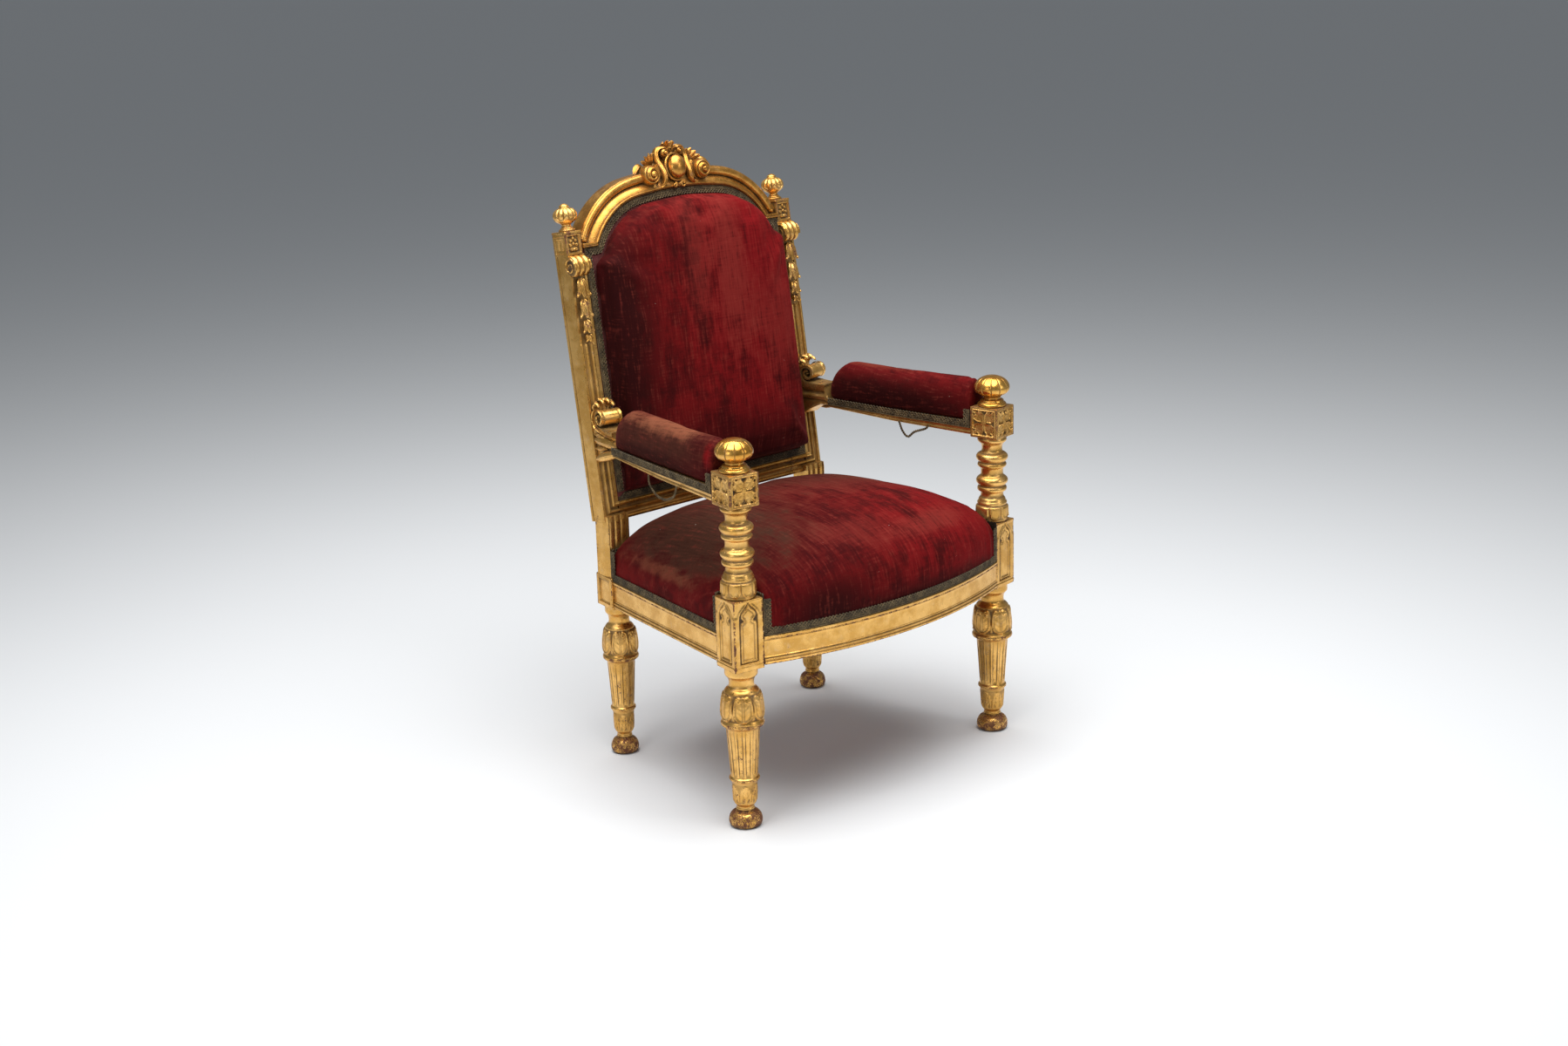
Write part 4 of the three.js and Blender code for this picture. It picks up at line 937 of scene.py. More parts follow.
def top_block_front(u, up):
    """A sunk panel with a sprig of six lobes on a stem."""
    frame = np.minimum(17.1 - 4.6 - abs(u), np.minimum(up - 316 - 4.5, 353 - 3.5 - up))
    x, y = abs(u), up - 319
    stem = bead(u, 1.3) * smooth(0, 3, y) * smooth(28, 22, y)
    lobes = [((4.6, 7.5), 3.9), ((6.8, 15), 3.6), ((5.2, 22.5), 3.4), ((0, 27), 3.2), ((0, 17), 3.0), ((0, 7), 3.0)]
    form = np.maximum.reduce([r - np.hypot(x - c[0], y - c[1]) for c, r in lobes])
    body = smooth(-0.2, 1.0, form)
    lifted = np.where(frame > 0, body * (2.4 + 1.2 * bead(form - 2, 1.8)), 0)
    out = -3.6 * smooth(-0.4, 0.9, frame) + lifted + 0.8 * stem
    dark = smooth(0, 0.8, frame) * (1 - body) * 0.95
    return out, dark, 0.2 * body


def top_block_side(u, up):
    frame = np.minimum(19.3 - 5 - abs(u), np.minimum(up - 316 - 4, 353 - 4 - up))
    step = np.minimum(19.3 - 9 - abs(u), np.minimum(up - 316 - 8, 353 - 8 - up))
    reed = abs(np.sin(math.pi * (u + 20) / 3.4)) ** 0.6
    out = -1.5 * smooth(-0.3, 0.7, frame) - (1.8 - 1.3 * reed) * smooth(-0.3, 0.7, step)
    dark = 0.5 * bead(frame - 0.8, 1.0) + 0.75 * smooth(0, 0.8, step) * smooth(0.6, 0.2, reed)
    return out, np.clip(dark, 0, 1), 0


rear_post = Shape()
lower = Shape()
leg_shape(lower, 0.885, 286.2, 144)
block(lower, REAR_BLOCK_HALF, REAR_BLOCK_HALF, 286, 345, {1: rear_block_panel}, step=1.6)
rear_post.add(lower, REAR_POST)
foot = Shape()
stile_foot(foot)
rear_post.add(foot, PLAIN)
raked = Shape()
stile_shape(raked)
console(raked)
block(raked, 17.15, 19.5, 316, 353.5, {0: top_block_front, 1: top_block_side}, centre=(251.15, 19.5))
block(raked, 18.2, 20.4, 353.4, 358.3, {}, chamfer=1.2, centre=(250.6, 19.2))
bud_top = 275
for length, wide in ((36, 13.5), (36, 12.5), (24, 10.5), (14, 8)):
    husk(raked, bud_top, length, wide)
    bud_top -= length + 1.2
rear_post.add(raked, BACK)
pair(rear_post, "rear_post", GILT, np.eye(4))

CUP_TIP = [(0.1, 358.3), (14.2, 358.3), (14.9, 360), (14.2, 362), (11, 363.2), (10.6, 364.6), (8.2, 366.8),
           (7.9, 369), (9, 371), (13, 373.6), (18.4, 377.4), (21.6, 383.4), (21.9, 388), (20, 393), (15.6, 397.2),
           (10.6, 399.4), (8.6, 400.2), (8.9, 402), (7.6, 404), (4.5, 406), (0.1, 407.3)]


def bud_relief(a, z, r):
    """Twelve gores in a cup of six petals."""
    live = smooth(370, 374, z) * smooth(400, 396, z)
    phase = triangle(a * 12 / (2 * math.pi))
    gore = np.sqrt(np.clip(1 - (1 - phase) ** 2, 0, 1))
    upper = smooth(381, 383.5, z)
    petal_edge = 381 + 3.5 * np.cos(6 * a)
    calyx = smooth(petal_edge, petal_edge - 1.5, z)
    out = live * (-0.14 * r * (1 - gore) * (1 - calyx) + 0.9 * calyx)
    dark = live * np.maximum(smooth(0.5, 0.2, gore) * 0.8 * (1 - calyx), 0.75 * bead(z - petal_edge - 0.8, 1.4))
    return out, dark, 0.35 * live * upper * smooth(0.8, 1, gore)


back_finial = Shape()
lathe(back_finial, spaced(rounded(CUP_TIP, 2), 1.4), 104, bud_relief, axis=(248.15, 19.5))
pair(back_finial, "back_finial", GILT, BACK)

# ---- Seat rails ----

RAIL_HALF_OUT = 25
RAIL_FACE = [(0.3, 290), (0, 290.6), (0, 293), (1.0, 293.8), (1.5, 294.8), (0.9, 296), (0.2, 297.2), (0.3, 298.6),
             (1.1, 299.6), (2.3, 300), (2.6, 300.8), (1.6, 301.6), (1.6, 302.8), (2.6, 303.6), (2.6, 310), (2.6, 318),
             (2.6, 326), (2.6, 330.6), (2.2, 331.4), (1.6, 331.8), (1.9, 332.8), (1.7, 334.2), (0.7, 334.8),
             (0.1, 336), (0.2, 337.8), (1.0, 338.8), (2.2, 339)]
RAIL_LOOP = np.array(RAIL_FACE + [(25.5, 339), (26, 338.6), (26, 290.4), (25.6, 290)])


rail_z = RAIL_LOOP[:, 1]
rail_face = np.arange(len(rail_z)) < len(RAIL_FACE)
RAIL_DARK = rail_face * np.clip(0.6 * bead(rail_z - 294.8, 1.0) + 0.7 * bead(rail_z - 299.8, 1.1)
                                + 0.4 * bead(rail_z - 331.4, 0.8), 0, 1)
RAIL_RUB = rail_face * np.clip(0.9 * bead(rail_z - 333.2, 2.3) + 0.95 * smooth(292.8, 290.8, rail_z)
                               + 0.45 * bead(rail_z - 297, 1.4), 0, 1)
FLARE = math.atan2(FRONT_X - REAR_X, REAR_Y - FRONT_Y)
RUN = math.hypot(FRONT_X - REAR_X, REAR_Y - FRONT_Y)
skew = FLARE - POST_TURN
across_rail = RAIL_HALF_OUT - RAIL_LOOP[:, 0]
near_end = (29.3 - across_rail * math.sin(skew)) / math.cos(skew)
far_end = RUN + (-27.8 - across_rail * math.sin(skew)) / math.cos(skew)
t = np.linspace(0, 1, 44)[:, None]
side_rail = Shape()
side_rail.grid(stack(across_rail, near_end + (far_end - near_end) * t, rail_z), RAIL_DARK, RAIL_RUB)
SIDE_RAIL = turned_frame(FRONT_X, FRONT_Y, FLARE)
pair(side_rail, "side_rail", GILT, SIDE_RAIL)


def bow_end(inset, gap=29.3):
    """The angle at which an arc of the bowed front meets the inner face of the right front block."""
    phi = np.linspace(0.2, 0.5, 600)
    radius = BOW_R - inset
    f = ((radius * np.sin(phi) - FRONT_X) * math.cos(POST_TURN)
         + (BOW_Y + BOW_R - radius * np.cos(phi) - FRONT_Y) * math.sin(POST_TURN) + gap)
    return float(np.interp(0, f, phi))


ends = np.array([bow_end(i) for i in RAIL_LOOP[:, 0]])
phi = np.linspace(-1, 1, 121)[:, None] * ends
radius = BOW_R - RAIL_LOOP[:, 0]
front_rail = Shape()
front_rail.grid(stack(radius * np.sin(phi), BOW_Y + BOW_R - radius * np.cos(phi), rail_z), RAIL_DARK, RAIL_RUB)
single(front_rail, "front_rail", GILT, PLAIN)

low, high = (np.array(c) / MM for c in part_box("rear_rail"))
rear_rail = Shape()
block(rear_rail, (high[0] - low[0]) / 2, (high[1] - low[1]) / 2, low[2], high[2], {}, chamfer=1.5,
      centre=(0, (low[1] + high[1]) / 2))
single(rear_rail, "rear_rail", GILT, np.eye(4))

# ---- The arched rail ----

HAUNCH_R, HAUNCH_X, HAUNCH_UP, ARCH_TOP = 173.3, 79, 265.3, 444.5
drop = ARCH_TOP - HAUNCH_UP
CROWN_R = (drop ** 2 + HAUNCH_X ** 2 - HAUNCH_R ** 2) / (2 * (drop - HAUNCH_R))
CROWN_UP = ARCH_TOP - CROWN_R
SPREAD = math.atan2(HAUNCH_X, HAUNCH_UP - CROWN_UP)
ARCH_MID = 18


def arch_point(inset, foot, t):
    """A point of the arch at t from -1 on the left to 1 on the right; foot is the angle where it starts."""
    share = 0.36
    k = abs(t)
    rest = math.pi / 2 - SPREAD
    crown = k < share
    a = np.where(crown, math.pi / 2 - SPREAD * k / share, rest - (rest - foot) * (k - share) / (1 - share))
    r = np.where(crown, CROWN_R - inset, HAUNCH_R - inset)
    x = np.where(crown, 0, HAUNCH_X) + r * np.cos(a)
    return np.sign(t) * x, np.where(crown, CROWN_UP, HAUNCH_UP) + r * np.sin(a)


def roll_point(angle):
    """A point of the big roll in front, which has one shallow groove."""
    r = 8.5 - 0.7 * math.exp(-((angle + 42) / 5) ** 2)
    return 9.5 + r * math.cos(angle * DEG), 9 + r * math.sin(angle * DEG)


roll = [roll_point(angle) for angle in range(8, -176, -8)]
ARCH_SECTION = np.array([(17, 38), (18, 37), (18, 24), (18, 14)] + roll + [
    (0.9, 9.6), (0.2, 9.2), (-0.6, 7.8), (-3, 4.9), (-6, 2.5), (-9, 0.8), (-11.2, -0.2), (-11.6, -1.6),
    (-12.4, -1.9), (-12.8, -3.6), (-13.8, -5), (-15.2, -5.4), (-16.3, -4.8), (-16.7, -3.7), (-17.1, -3.8),
    (-17.5, -4.6), (-18.1, -4), (-18.2, -2), (-18.2, 16), (-18.2, 37), (-17.2, 38)])
LEDGE = (326, 333.4)


def arch_foot(out):
    """The angle at which an arc of the arch meets the ledge, or the stile's block."""
    r = HAUNCH_R - ARCH_MID + out
    level = 342 if out > 1.5 else LEDGE[1] - 1
    by_height = math.asin((level - HAUNCH_UP) / r)
    by_width = math.acos(min(1, (233 - HAUNCH_X) / r))
    return max(by_height, by_width)


feet = np.array([arch_foot(out) for out in ARCH_SECTION[:, 0]])
t = np.linspace(-1, 1, 161)[:, None]
x, up = arch_point(ARCH_MID - ARCH_SECTION[:, 0], feet, t)
arch = Shape()
out = ARCH_SECTION[:, 0]
arch_front = ARCH_SECTION[:, 1] < 8
arch_dark = np.clip(0.95 * bead(out - 0.6, 1.6) + 0.55 * bead(out + 12.2, 1.0) + 0.6 * bead(out + 16.8, 0.6)
                    + 0.7 * bead(out - 15.8, 0.55) * arch_front, 0, 1)
arch_rub = 0.3 * bead(out - 13, 3) * arch_front + 0.25 * bead(out + 14.6, 1.2)
arch.grid(stack(x, ARCH_SECTION[:, 1], up), arch_dark, arch_rub)


def ledge_face(u, z):
    """One groove along the ledge."""
    return -0.8 * bead(z - 328.6, 0.8), 0.7 * bead(z - 328.6, 0.9), 0.35 * smooth(331, 333, z)


for side in (-1, 1):
    block(arch, 16.2, 21.4, *LEDGE, {0: ledge_face}, step=0.8, centre=(side * 217.5, 16.6))
    block(arch, 14, 15.2, LEDGE[1] - 1, 342.4, {}, chamfer=0.6, centre=(side * 219.6, 22.8))
    end_x, end_up = arch_point(ARCH_MID - 9.5, arch_foot(9.5), np.array(float(side)))
    ball(arch, (float(end_x) - side * 0.4, 9, float(end_up) + 0.8), (8.4, 8.4, 8.6))
    ball(arch, (float(end_x) - side * 0.8, 2.6, float(end_up) - 3.2), (3.2, 2.2, 3.2), 8, 12, rub=0.4)
single(arch, "back_top_rail", GILT_DEEP, BACK)

# ---- The lower rail ----

t = np.linspace(27, -0.6, 64)
reach = np.concatenate([np.linspace(-231.7, 190, 60), [191.4, 191.9, 192.4, 193], np.linspace(196, 231.7, 8)])
joint = np.array([0.0] * 61 + [1.0, 1.0] + [0.0] * 9)[:, None]
front = np.stack([mould_depth(t) + 0.2, PAD_FOOT_UP - t / MITRE], 1)
closing = np.array([(12, -131), (30, -131), (30, -150), (30, -164), (12, -164)])
loop = np.vstack([front, closing])
unworn = np.zeros(len(closing))
low_rail = Shape()
low_rail.grid(stack(reach[:, None], loop[:, 0] + 0.7 * joint, loop[:, 1]),
              np.clip(np.concatenate([mould_dark(t), unworn]) + joint, 0, 1),
              np.concatenate([0.3 * bead(t - 16, 2), unworn]))
single(low_rail, "back_lower_rail", GILT_DEEP, BACK)

# ---- Crest ----

TOP = 448
crest = Shape()


def scroll(line, widths, half_depth, ridge=True, rub=0.0):
    """A tapering scroll of (across, up from the crest's level, depth) points, with a raised line along it."""
    line = even(rounded(line, 2), max(24, 3 * len(line)))
    w = np.interp(np.linspace(0, 1, len(line)), np.linspace(0, 1, len(widths)), widths)
    path = np.stack([line[:, 0], line[:, 2], TOP + line[:, 1]], 1)
    band(crest, path, w, half_depth, 14, rub, 0.8)
    if ridge:
        band(crest, path + (0, -half_depth * 0.72, 0), w * 0.38, half_depth * 0.5, 8)


def at_depth(line, *depths):
    """A flat line with depths spread evenly along it."""
    line = np.asarray(line, float)
    spread = np.interp(np.linspace(0, 1, len(line)), np.linspace(0, 1, len(depths)), depths)
    return np.column_stack([line, spread])


def snail(x, up, depth, radius, rise, turns, hand):
    """A conical volute: rounded rings that climb to an eye, parted by a spiral groove."""
    rho = np.concatenate([np.linspace(1, 0.2, 44), np.linspace(0.18, 0, 6)])[:, None]
    a = full_turn(72)
    t = ((1 - rho) * turns + hand * a / (2 * math.pi)) % 1
    ring = np.sin(math.pi * t) ** 0.5
    eye = smooth(0.24, 0.16, rho)
    ring = ring * (1 - eye) + eye
    edge = np.sqrt(np.clip(1 - rho ** 8, 0, 1))
    high = rise * ((0.42 * edge + 0.34 * (1 - rho)) + 0.24 * edge * ring)
    points = stack(x + rho * radius * np.cos(a), depth - high, TOP + up + rho * radius * np.sin(a))
    back = points[:1] + (0, rise * 0.7, 0)
    grooves = smooth(0.62, 0.25, ring) * 0.95
    crest.grid(np.concatenate([back, points]), np.concatenate([grooves[:1] * 0, grooves]))


def mirror_line(line, side):
    return np.asarray(line) * (side, 1, 1)


plate_side = [(26, 408), (36, 404), (48, 412), (56, 420), (58, 430), (54, 440), (44, 450), (36, 458), (30, 466),
              (20, 471)]
plate = np.array([(-26, 408)] + plate_side + [(0, 472)] + [(-x, y) for x, y in reversed(plate_side[1:])])
lean = np.interp(plate[:, 1], [404, 424, 446, 472], [1.5, 3, 11, 19])
layers = [(0, 0.95), (2, 1.0), (26, 1.0), (27, 0.98)]
crest.grid(np.stack([stack(plate[:, 0] * k, np.minimum(d + lean, 27), 444 + (plate[:, 1] - 444) * k)
                     for d, k in layers]), 0.55, 0.3)
BOSS = (0, -5.5, TOP - 3)
ball(crest, BOSS, (18.6, 13.6, 21.6), 26, 40, axis="y")
RIM = np.array([(21.2 * math.cos(a), 24.2 * math.sin(a)) for a in np.linspace(0, 2 * math.pi, 65)])
tube(crest, [(x, 0.5 + 0.13 * z, BOSS[2] + z) for x, z in RIM], 2.3, 10)
for side in (-1, 1):
    stem = np.vstack([at_depth(spiral((17, 24.5), 2.2, 8.2, 640, 90, 30), 6.5, 11),
                      [(24, 33, 12.5), (29.6, 30, 13.5), (32.8, 22.5, 13.5), (33.2, 13, 11), (31.6, 4, 6.5),
                       (29.6, -7, 0), (29.4, -17, -3.2), (30.6, -26, -3.6), (34, -33, -1), (39.5, -37.2, 3),
                       (45.2, -36.8, 6), (48.2, -33, 6.4), (45.8, -30, 6.4)]])
    scroll(mirror_line(stem, side), (1.9, 2.4, 2.9, 3.4, 4.2, 5.2, 5.4, 4.8, 4.3, 3.7, 2.8), 6.6)
    ball(crest, (side * 17, 4.5, TOP + 24.5), (3.7, 6.5, 3.7), 10, 16, axis="y")
    ball(crest, (side * 45.6, 3.4, TOP - 33), (3.4, 4.4, 3.4), 10, 14, axis="y")
    snail(side * 60.5, -12.6, 4, 18.2, 21, 2.3, side)
    # From under the side volute up behind the stem.
    link = [(44, -27, 4), (39.6, -17, 4), (39, -5, 5), (42, 5, 6)]
    scroll(mirror_line(link, side), (2.4, 4.6, 5.0, 3.0), 5, rub=0.25)
    small = at_depth(np.vstack([spiral((10.4, -35.4), 1.3, 5.0, 500, 130, 16), [(3.5, -33.2), (0, -35)]]), -6.5, -3)
    scroll(mirror_line(small, side), (1.3, 2.0, 2.3, 2.2, 1.7), 3.4, ridge=False)
    # A sprig above the side volute, and a leaf round its outside, both rooted behind.
    for tip_x, tip_up, wide in ((41, 27, 4.2), (51, 26, 5.0), (61, 20.5, 5.0), (69.5, 12.5, 4.6)):
        root = np.array([side * 40, 22, TOP + 2.0])
        tip = np.array([side * tip_x, 15, TOP + tip_up])
        spine = [root, root * 0.5 + tip * 0.5 + (0, -3, 1.5), root * 0.12 + tip * 0.88 + (0, -4, 1),
                 tip + (0, -6, -1.5)]
        leaf(crest, spine, (1.6, wide * 0.9, wide * 1.1, wide, wide * 0.55), (0, -1, 0.2), 3.0, -1.0, 1.3, 0.25)
    spine = [(side * 62, 19, TOP + 3), (side * 73, 15, TOP + 5), (side * 82, 13, TOP), (side * 88, 11, TOP - 9)]
    leaf(crest, spine, (3, 6.2, 6.6, 3.5), (0, -1, 0), 3.6, -1.0, 1.6)
# The palmette on top, its tips curled forwards.
for tip_x, tip_up, wide in ((-30, 25, 5.4), (30, 25, 5.4), (-24.5, 35, 6.2), (24.5, 35, 6.2), (-13, 43, 6.4),
                            (13, 43, 6.4), (0, 45.6, 6.4)):
    root = np.array([tip_x * 0.12, 27, TOP + 12.0])
    tip = np.array([tip_x, 19, TOP + tip_up])
    spine = [root, root * 0.55 + tip * 0.45 + (0, 0, 1), root * 0.12 + tip * 0.88 + (0, -3, 0.5),
             tip + (0, -7, -1)]
    leaf(crest, spine, (2.4, wide * 0.8, wide * 1.1, wide, 2.6), (0, -1, 0.2), 3.4, -1.2, 1.7, 0.3)
for side in (-1, 1):
    spine = [(side * 5, 16, TOP + 20), (side * 7, 8, TOP + 27), (side * 7, 3, TOP + 31), (side * 6, -3, TOP + 32)]
    leaf(crest, spine, (3, 5.4, 5.0, 2.2), (0, -0.6, 1), 2.6, -1, 1.2)
single(crest, "crest", GILT_DEEP, BACK)

# ---- Arms ----

BAR_TOP = 594
arm = Shape()
s = np.linspace(28.8, 352, 50)
foot_z = np.interp(s, [28.8, 200, 352], [569.5, 572.5, 580.5])[:, None]
near_x = np.array([-28, -28, -28, -27.2, -28, -28, -27, -25.8])
fraction = np.array([1, 0.55, 0.34, 0.28, 0.22, 0.1, 0.03, 0])
left = stack(near_x, s[:, None], foot_z + (BAR_TOP - foot_z) * fraction)
right = left[:, ::-1] * (-1, 1, 1)
bar_dark = np.concatenate([[0, 0, 0.2, 0.7, 0.2, 0, 0, 0], [0, 0, 0, 0.2, 0.7, 0.2, 0, 0]])
bar_rub = np.concatenate([[0, 0, 0, 0.2, 0.3, 0.3, 0.6, 0.5], [0.5, 0.6, 0.3, 0.3, 0.2, 0, 0, 0]])
arm.grid(np.concatenate([left, right], 1), bar_dark, bar_rub)

sin_t, cos_t = math.sin(ARM_TURN), math.cos(ARM_TURN)


def stile_reach(x, z):
    """How far along the arm the front of the stile stands."""
    return (PIVOT_Y + (z - PIVOT_Z) * math.tan(RAKE) - 0.4 - FRONT_Y - x * sin_t) / cos_t


def wrist_half(z, foot):
    """Half the wrist's width: a band at its foot, and mouldings above."""
    low = np.interp(z - foot, [0, 0.6, 3, 4.2], [17.2, 18.7, 18.7, 16.6])
    high = np.interp(z, [583, 586, 589.4, 590.6, 596, 597.4, 599.6, 603.5, 606.6, 608.4, 609.4, 614, 619, 620],
                     [16.4, 16, 16.2, 19.2, 19.5, 18.4, 15.4, 14.8, 16, 19.2, 20, 20.2, 20, 19.2])
    return np.where(z < 583, low, high)


t = np.concatenate([np.linspace(0, 0.3, 12), np.linspace(0.33, 1, 26)])[:, None]
levels = np.linspace(0, 1, 56)
WRIST_START = 324.0
s_mid = WRIST_START + (431 - WRIST_START) * t
foot_z = np.interp(s_mid, [322, 352, 364, 378, 395, 403, 421, 456], [580, 580.5, 582, 580.5, 573, 569.5, 558, 549])
head_z = np.interp(s_mid, [322, 361, 365], [593, 593, 620])
z = foot_z + (head_z - foot_z) * levels
wrist_dark = 0.85 * bead(z - 603, 5) + 0.7 * bead(z - 588, 3.4)
sides = []
for side in (-1, 1):
    half = wrist_half(z, foot_z) * side
    s_at = WRIST_START + (stile_reach(half, z) - WRIST_START) * t
    sides.append(stack(half, s_at, z)[:, ::side])
arm.grid(np.concatenate(sides, 1), np.clip(np.concatenate([wrist_dark[:, ::-1], wrist_dark], 1), 0, 1))

# The rolled scroll on the wrist: a sheet wound up, seen end on at each cheek.
TURNS = 84
turns = np.vstack([[(366, 619.5), (380, 618), (396, 618.6)], spiral((409, 637), 17.0, 4.6, -78, 470, 60)])
turns = even(turns, TURNS)
tangent = unit(np.gradient(turns, axis=0))
normal = np.stack([-tangent[:, 1], tangent[:, 0]], 1)[:, None]
thick = np.interp(np.arange(TURNS), [0, 20, 60, TURNS - 1], [1.6, 2.4, 2.2, 1.6])[:, None, None]
x = np.linspace(-20, 20, 26)
edge = 1.4 * (smooth(-16, -20, x) + smooth(16, 20, x)) - 0.9 * (bead(x - 15.5, 1.2) + bead(x + 15.5, 1.2))
outer = turns[:, None] - normal * (thick + 0.5 * edge[None, :, None])
inner = turns[:, None] + normal * (thick * 0.9)
line_dark = 0.7 * (bead(x - 15.5, 1.3) + bead(x + 15.5, 1.3))
# The inner face of the rolled sheet is painted dark, as shade.
arm.grid(np.concatenate([stack(x, outer[..., 0], outer[..., 1]), stack(x[::-1], inner[..., 0], inner[..., 1])], 1),
         np.concatenate([line_dark, np.full_like(line_dark, 0.8)]))
ball(arm, (0, 409, 637), (19.4, 3.4, 3.4), 10, 12)

# The raised edge of the rolled sheet on the outer cheek.
edge_line = np.vstack([[(352, 610.4), (366, 611.6), (384, 611), (402, 614.4)],
                       spiral((409.5, 638.5), 20.6, 5.4, -62, 400, 44)])
path = np.column_stack([np.full(len(edge_line), 20.6), edge_line])
path[:, 1] = 409.5 + (path[:, 1] - 409.5) * np.where(path[:, 1] > 402, 1.06, 1)
band(arm, path, np.interp(np.arange(len(path)), [0, 4, 30, len(path) - 1], [2.6, 4.0, 2.6, 1.7]), 2.0, 8)

# Leaves: a short spray over the scroll, and two on the outer cheek that point back to the stile.
for x0, drop in ((-14, 7), (-5.5, 0), (5.5, 0), (14, 6)):
    spine = [(x0 * 0.7, 427, 645), (x0 * 0.85, 432, 655 - drop * 0.6), (x0, 432, 663 - drop),
             (x0 * 1.08, 425, 668.5 - drop), (x0 * 1.1, 417, 667 - drop), (x0 * 1.1, 414, 663.4 - drop)]
    leaf(arm, spine, (3, 5.6, 6.4, 6, 4.2, 2.0), (0, -1, 0.3), 3.4, -1.0, 1.5)
cheek_leaves = [
    ([(18, 384, 606.5), (20.5, 402, 608), (22.5, 416, 609), (23.5, 423, 609.5)], (2, 4.4, 4.4, 1.2)),
    ([(18, 384, 588), (20.5, 400, 586), (22.5, 411, 584.4), (23.5, 418, 583.6)], (2, 5, 4.6, 1.2)),
    ([(14.5, 350, 595), (18, 372, 598.6), (21, 394, 599.4), (23.4, 408, 599.8), (24.6, 418.5, 600)],
     (2.5, 7, 10.2, 10.4, 8.4, 2.6)),
    ([(14.5, 350, 583.5), (18, 370, 580), (21, 388, 574.5), (24.5, 402, 569.5), (26.5, 411, 566)],
     (2.5, 6, 8.6, 8.8, 7.6, 3.4)),
]
for spine, width in cheek_leaves:
    leaf(arm, spine, width, (1, 0, 0), 5.0, -1.4, 1.2)
pair(arm, "arm", GILT, ARM)

# ---- Braid ----

BRAID_PITCH = 6.8
BRAID_COLS = 15


def braid_relief(s, v, width):
    """Loops along one edge, two crossing cords in the middle and a cord along the other edge, with painted shade in
    the gaps between the cords.
    """
    phase = s / BRAID_PITCH
    centre = (np.floor(phase) + 0.5) * BRAID_PITCH
    ring = bead(np.hypot(s - centre, v - width + 3.6) - 2.5, 0.95)
    middle = 0.38 * width
    swing = 2.6 * (triangle(phase) - 0.5) * 2 * 0.8
    cross = np.maximum(bead(v - (middle + swing), 0.95), bead(v - (middle - swing), 0.95))
    form = np.maximum.reduce([ring, cross, bead(v - 1.3, 1.3) * 0.8])
    return 0.9 + 1.2 * form, 1 - smooth(0.05, 0.55, form)


def braid(shape, line, place, width=15.0, step=1.2):
    """A braid laid along the left of a flat line; place(a, b, height) gives a row-frame point.
    It mitres at inner corners, and fans round outer ones."""
    line = np.asarray(line, float)
    points, lefts = [], []
    for i, d in enumerate(np.diff(line, axis=0)):
        n = max(2, int(round(np.linalg.norm(d) / step)))
        left = np.array([-d[1], d[0]]) / np.linalg.norm(d)
        if i:
            old = lefts[-1]
            swing = math.atan2(old[0] * left[1] - old[1] * left[0], old @ left)
            if swing < -0.3:
                for k in np.linspace(0, 1, 12)[1:-1]:
                    c, s = math.cos(swing * k), math.sin(swing * k)
                    points.append(line[i])
                    lefts.append(np.array([c * old[0] - s * old[1], s * old[0] + c * old[1]]))
        for k in np.arange(n + 1) / n:
            points.append(line[i] + d * k)
            lefts.append(left)
    points, lefts = np.array(points), np.array(lefts)
    moved = np.linalg.norm(np.diff(points, axis=0), axis=1)
    fan = np.linalg.norm(np.diff(lefts, axis=0), axis=1) * width * 0.6
    run = np.concatenate([[0], np.cumsum(np.maximum(moved, fan))])
    scallop = width - 2.4 + 2.4 * abs(np.sin(math.pi * run / BRAID_PITCH)) ** 0.7
    v = np.linspace(0, 1, BRAID_COLS)[None] * scallop[:, None]
    spot = points[:, None] + lefts[:, None] * v[..., None]
    clear = line_distance(spot[..., 0], spot[..., 1], line)
    free = np.where(clear > v - 0.12, v, 0).max(1)
    v = np.minimum(v, free[:, None])
    h, dark = braid_relief(run[:, None] + 0 * v, v, width)
    h[:, 0] = h[:, -1] = 0.3
    spot = points[:, None] + lefts[:, None] * v[..., None]
    front = place(spot[..., 0], spot[..., 1], h)
    under = spot[:, ::-(BRAID_COLS // 2)]
    back = place(under[..., 0], under[..., 1], np.zeros(under.shape[:2]))
    # The underside is painted fully dark, as shade.
    shape.grid(np.concatenate([front, back], 1), np.concatenate([dark, np.ones(back.shape[:2])], 1))


def on_frame(matrix, at):
    """A place function: at(a, b, h) gives a point in a frame."""
    return lambda a, b, h: placed(stack(*at(a, b, h)), matrix)


GIMP_FOOT = RAIL_TOP + 0.4
WALL_INSET = 3 - 0.4
seat_gimp = Shape()
bow_radius = BOW_R - WALL_INSET
wall_end = bow_end(WALL_INSET, 29.4) * bow_radius


def on_bow(a, z, h):
    r = bow_radius + h
    return r * np.sin(a / bow_radius), BOW_Y + BOW_R - r * np.cos(a / bow_radius), z


# The front of the seat: up the left block, along the rail, and up the right block.
braid(seat_gimp, [(wall_end, 404), (wall_end, GIMP_FOOT), (-wall_end, GIMP_FOOT), (-wall_end, 404)][::-1],
      on_frame(PLAIN, on_bow))
wall_x = RAIL_HALF_OUT - WALL_INSET
stile_face = (176 - FRONT_Y - wall_x * math.sin(FLARE)) / math.cos(FLARE) - 0.4
side_line = [(29.7, 404), (29.7, GIMP_FOOT), (stile_face, GIMP_FOOT), (stile_face, 396)]
notch = 30.9


def round_block(a, z, h):
    """Behind the front block's drum: along its inner side, then along its back."""
    turn_at = 29 + notch
    along = a < turn_at
    return (np.where(along, -notch + h, a - turn_at - notch), np.where(along, a - 29, notch - h), z)


def rear_run(a, z, h):
    return -a, 190.4 + h, z


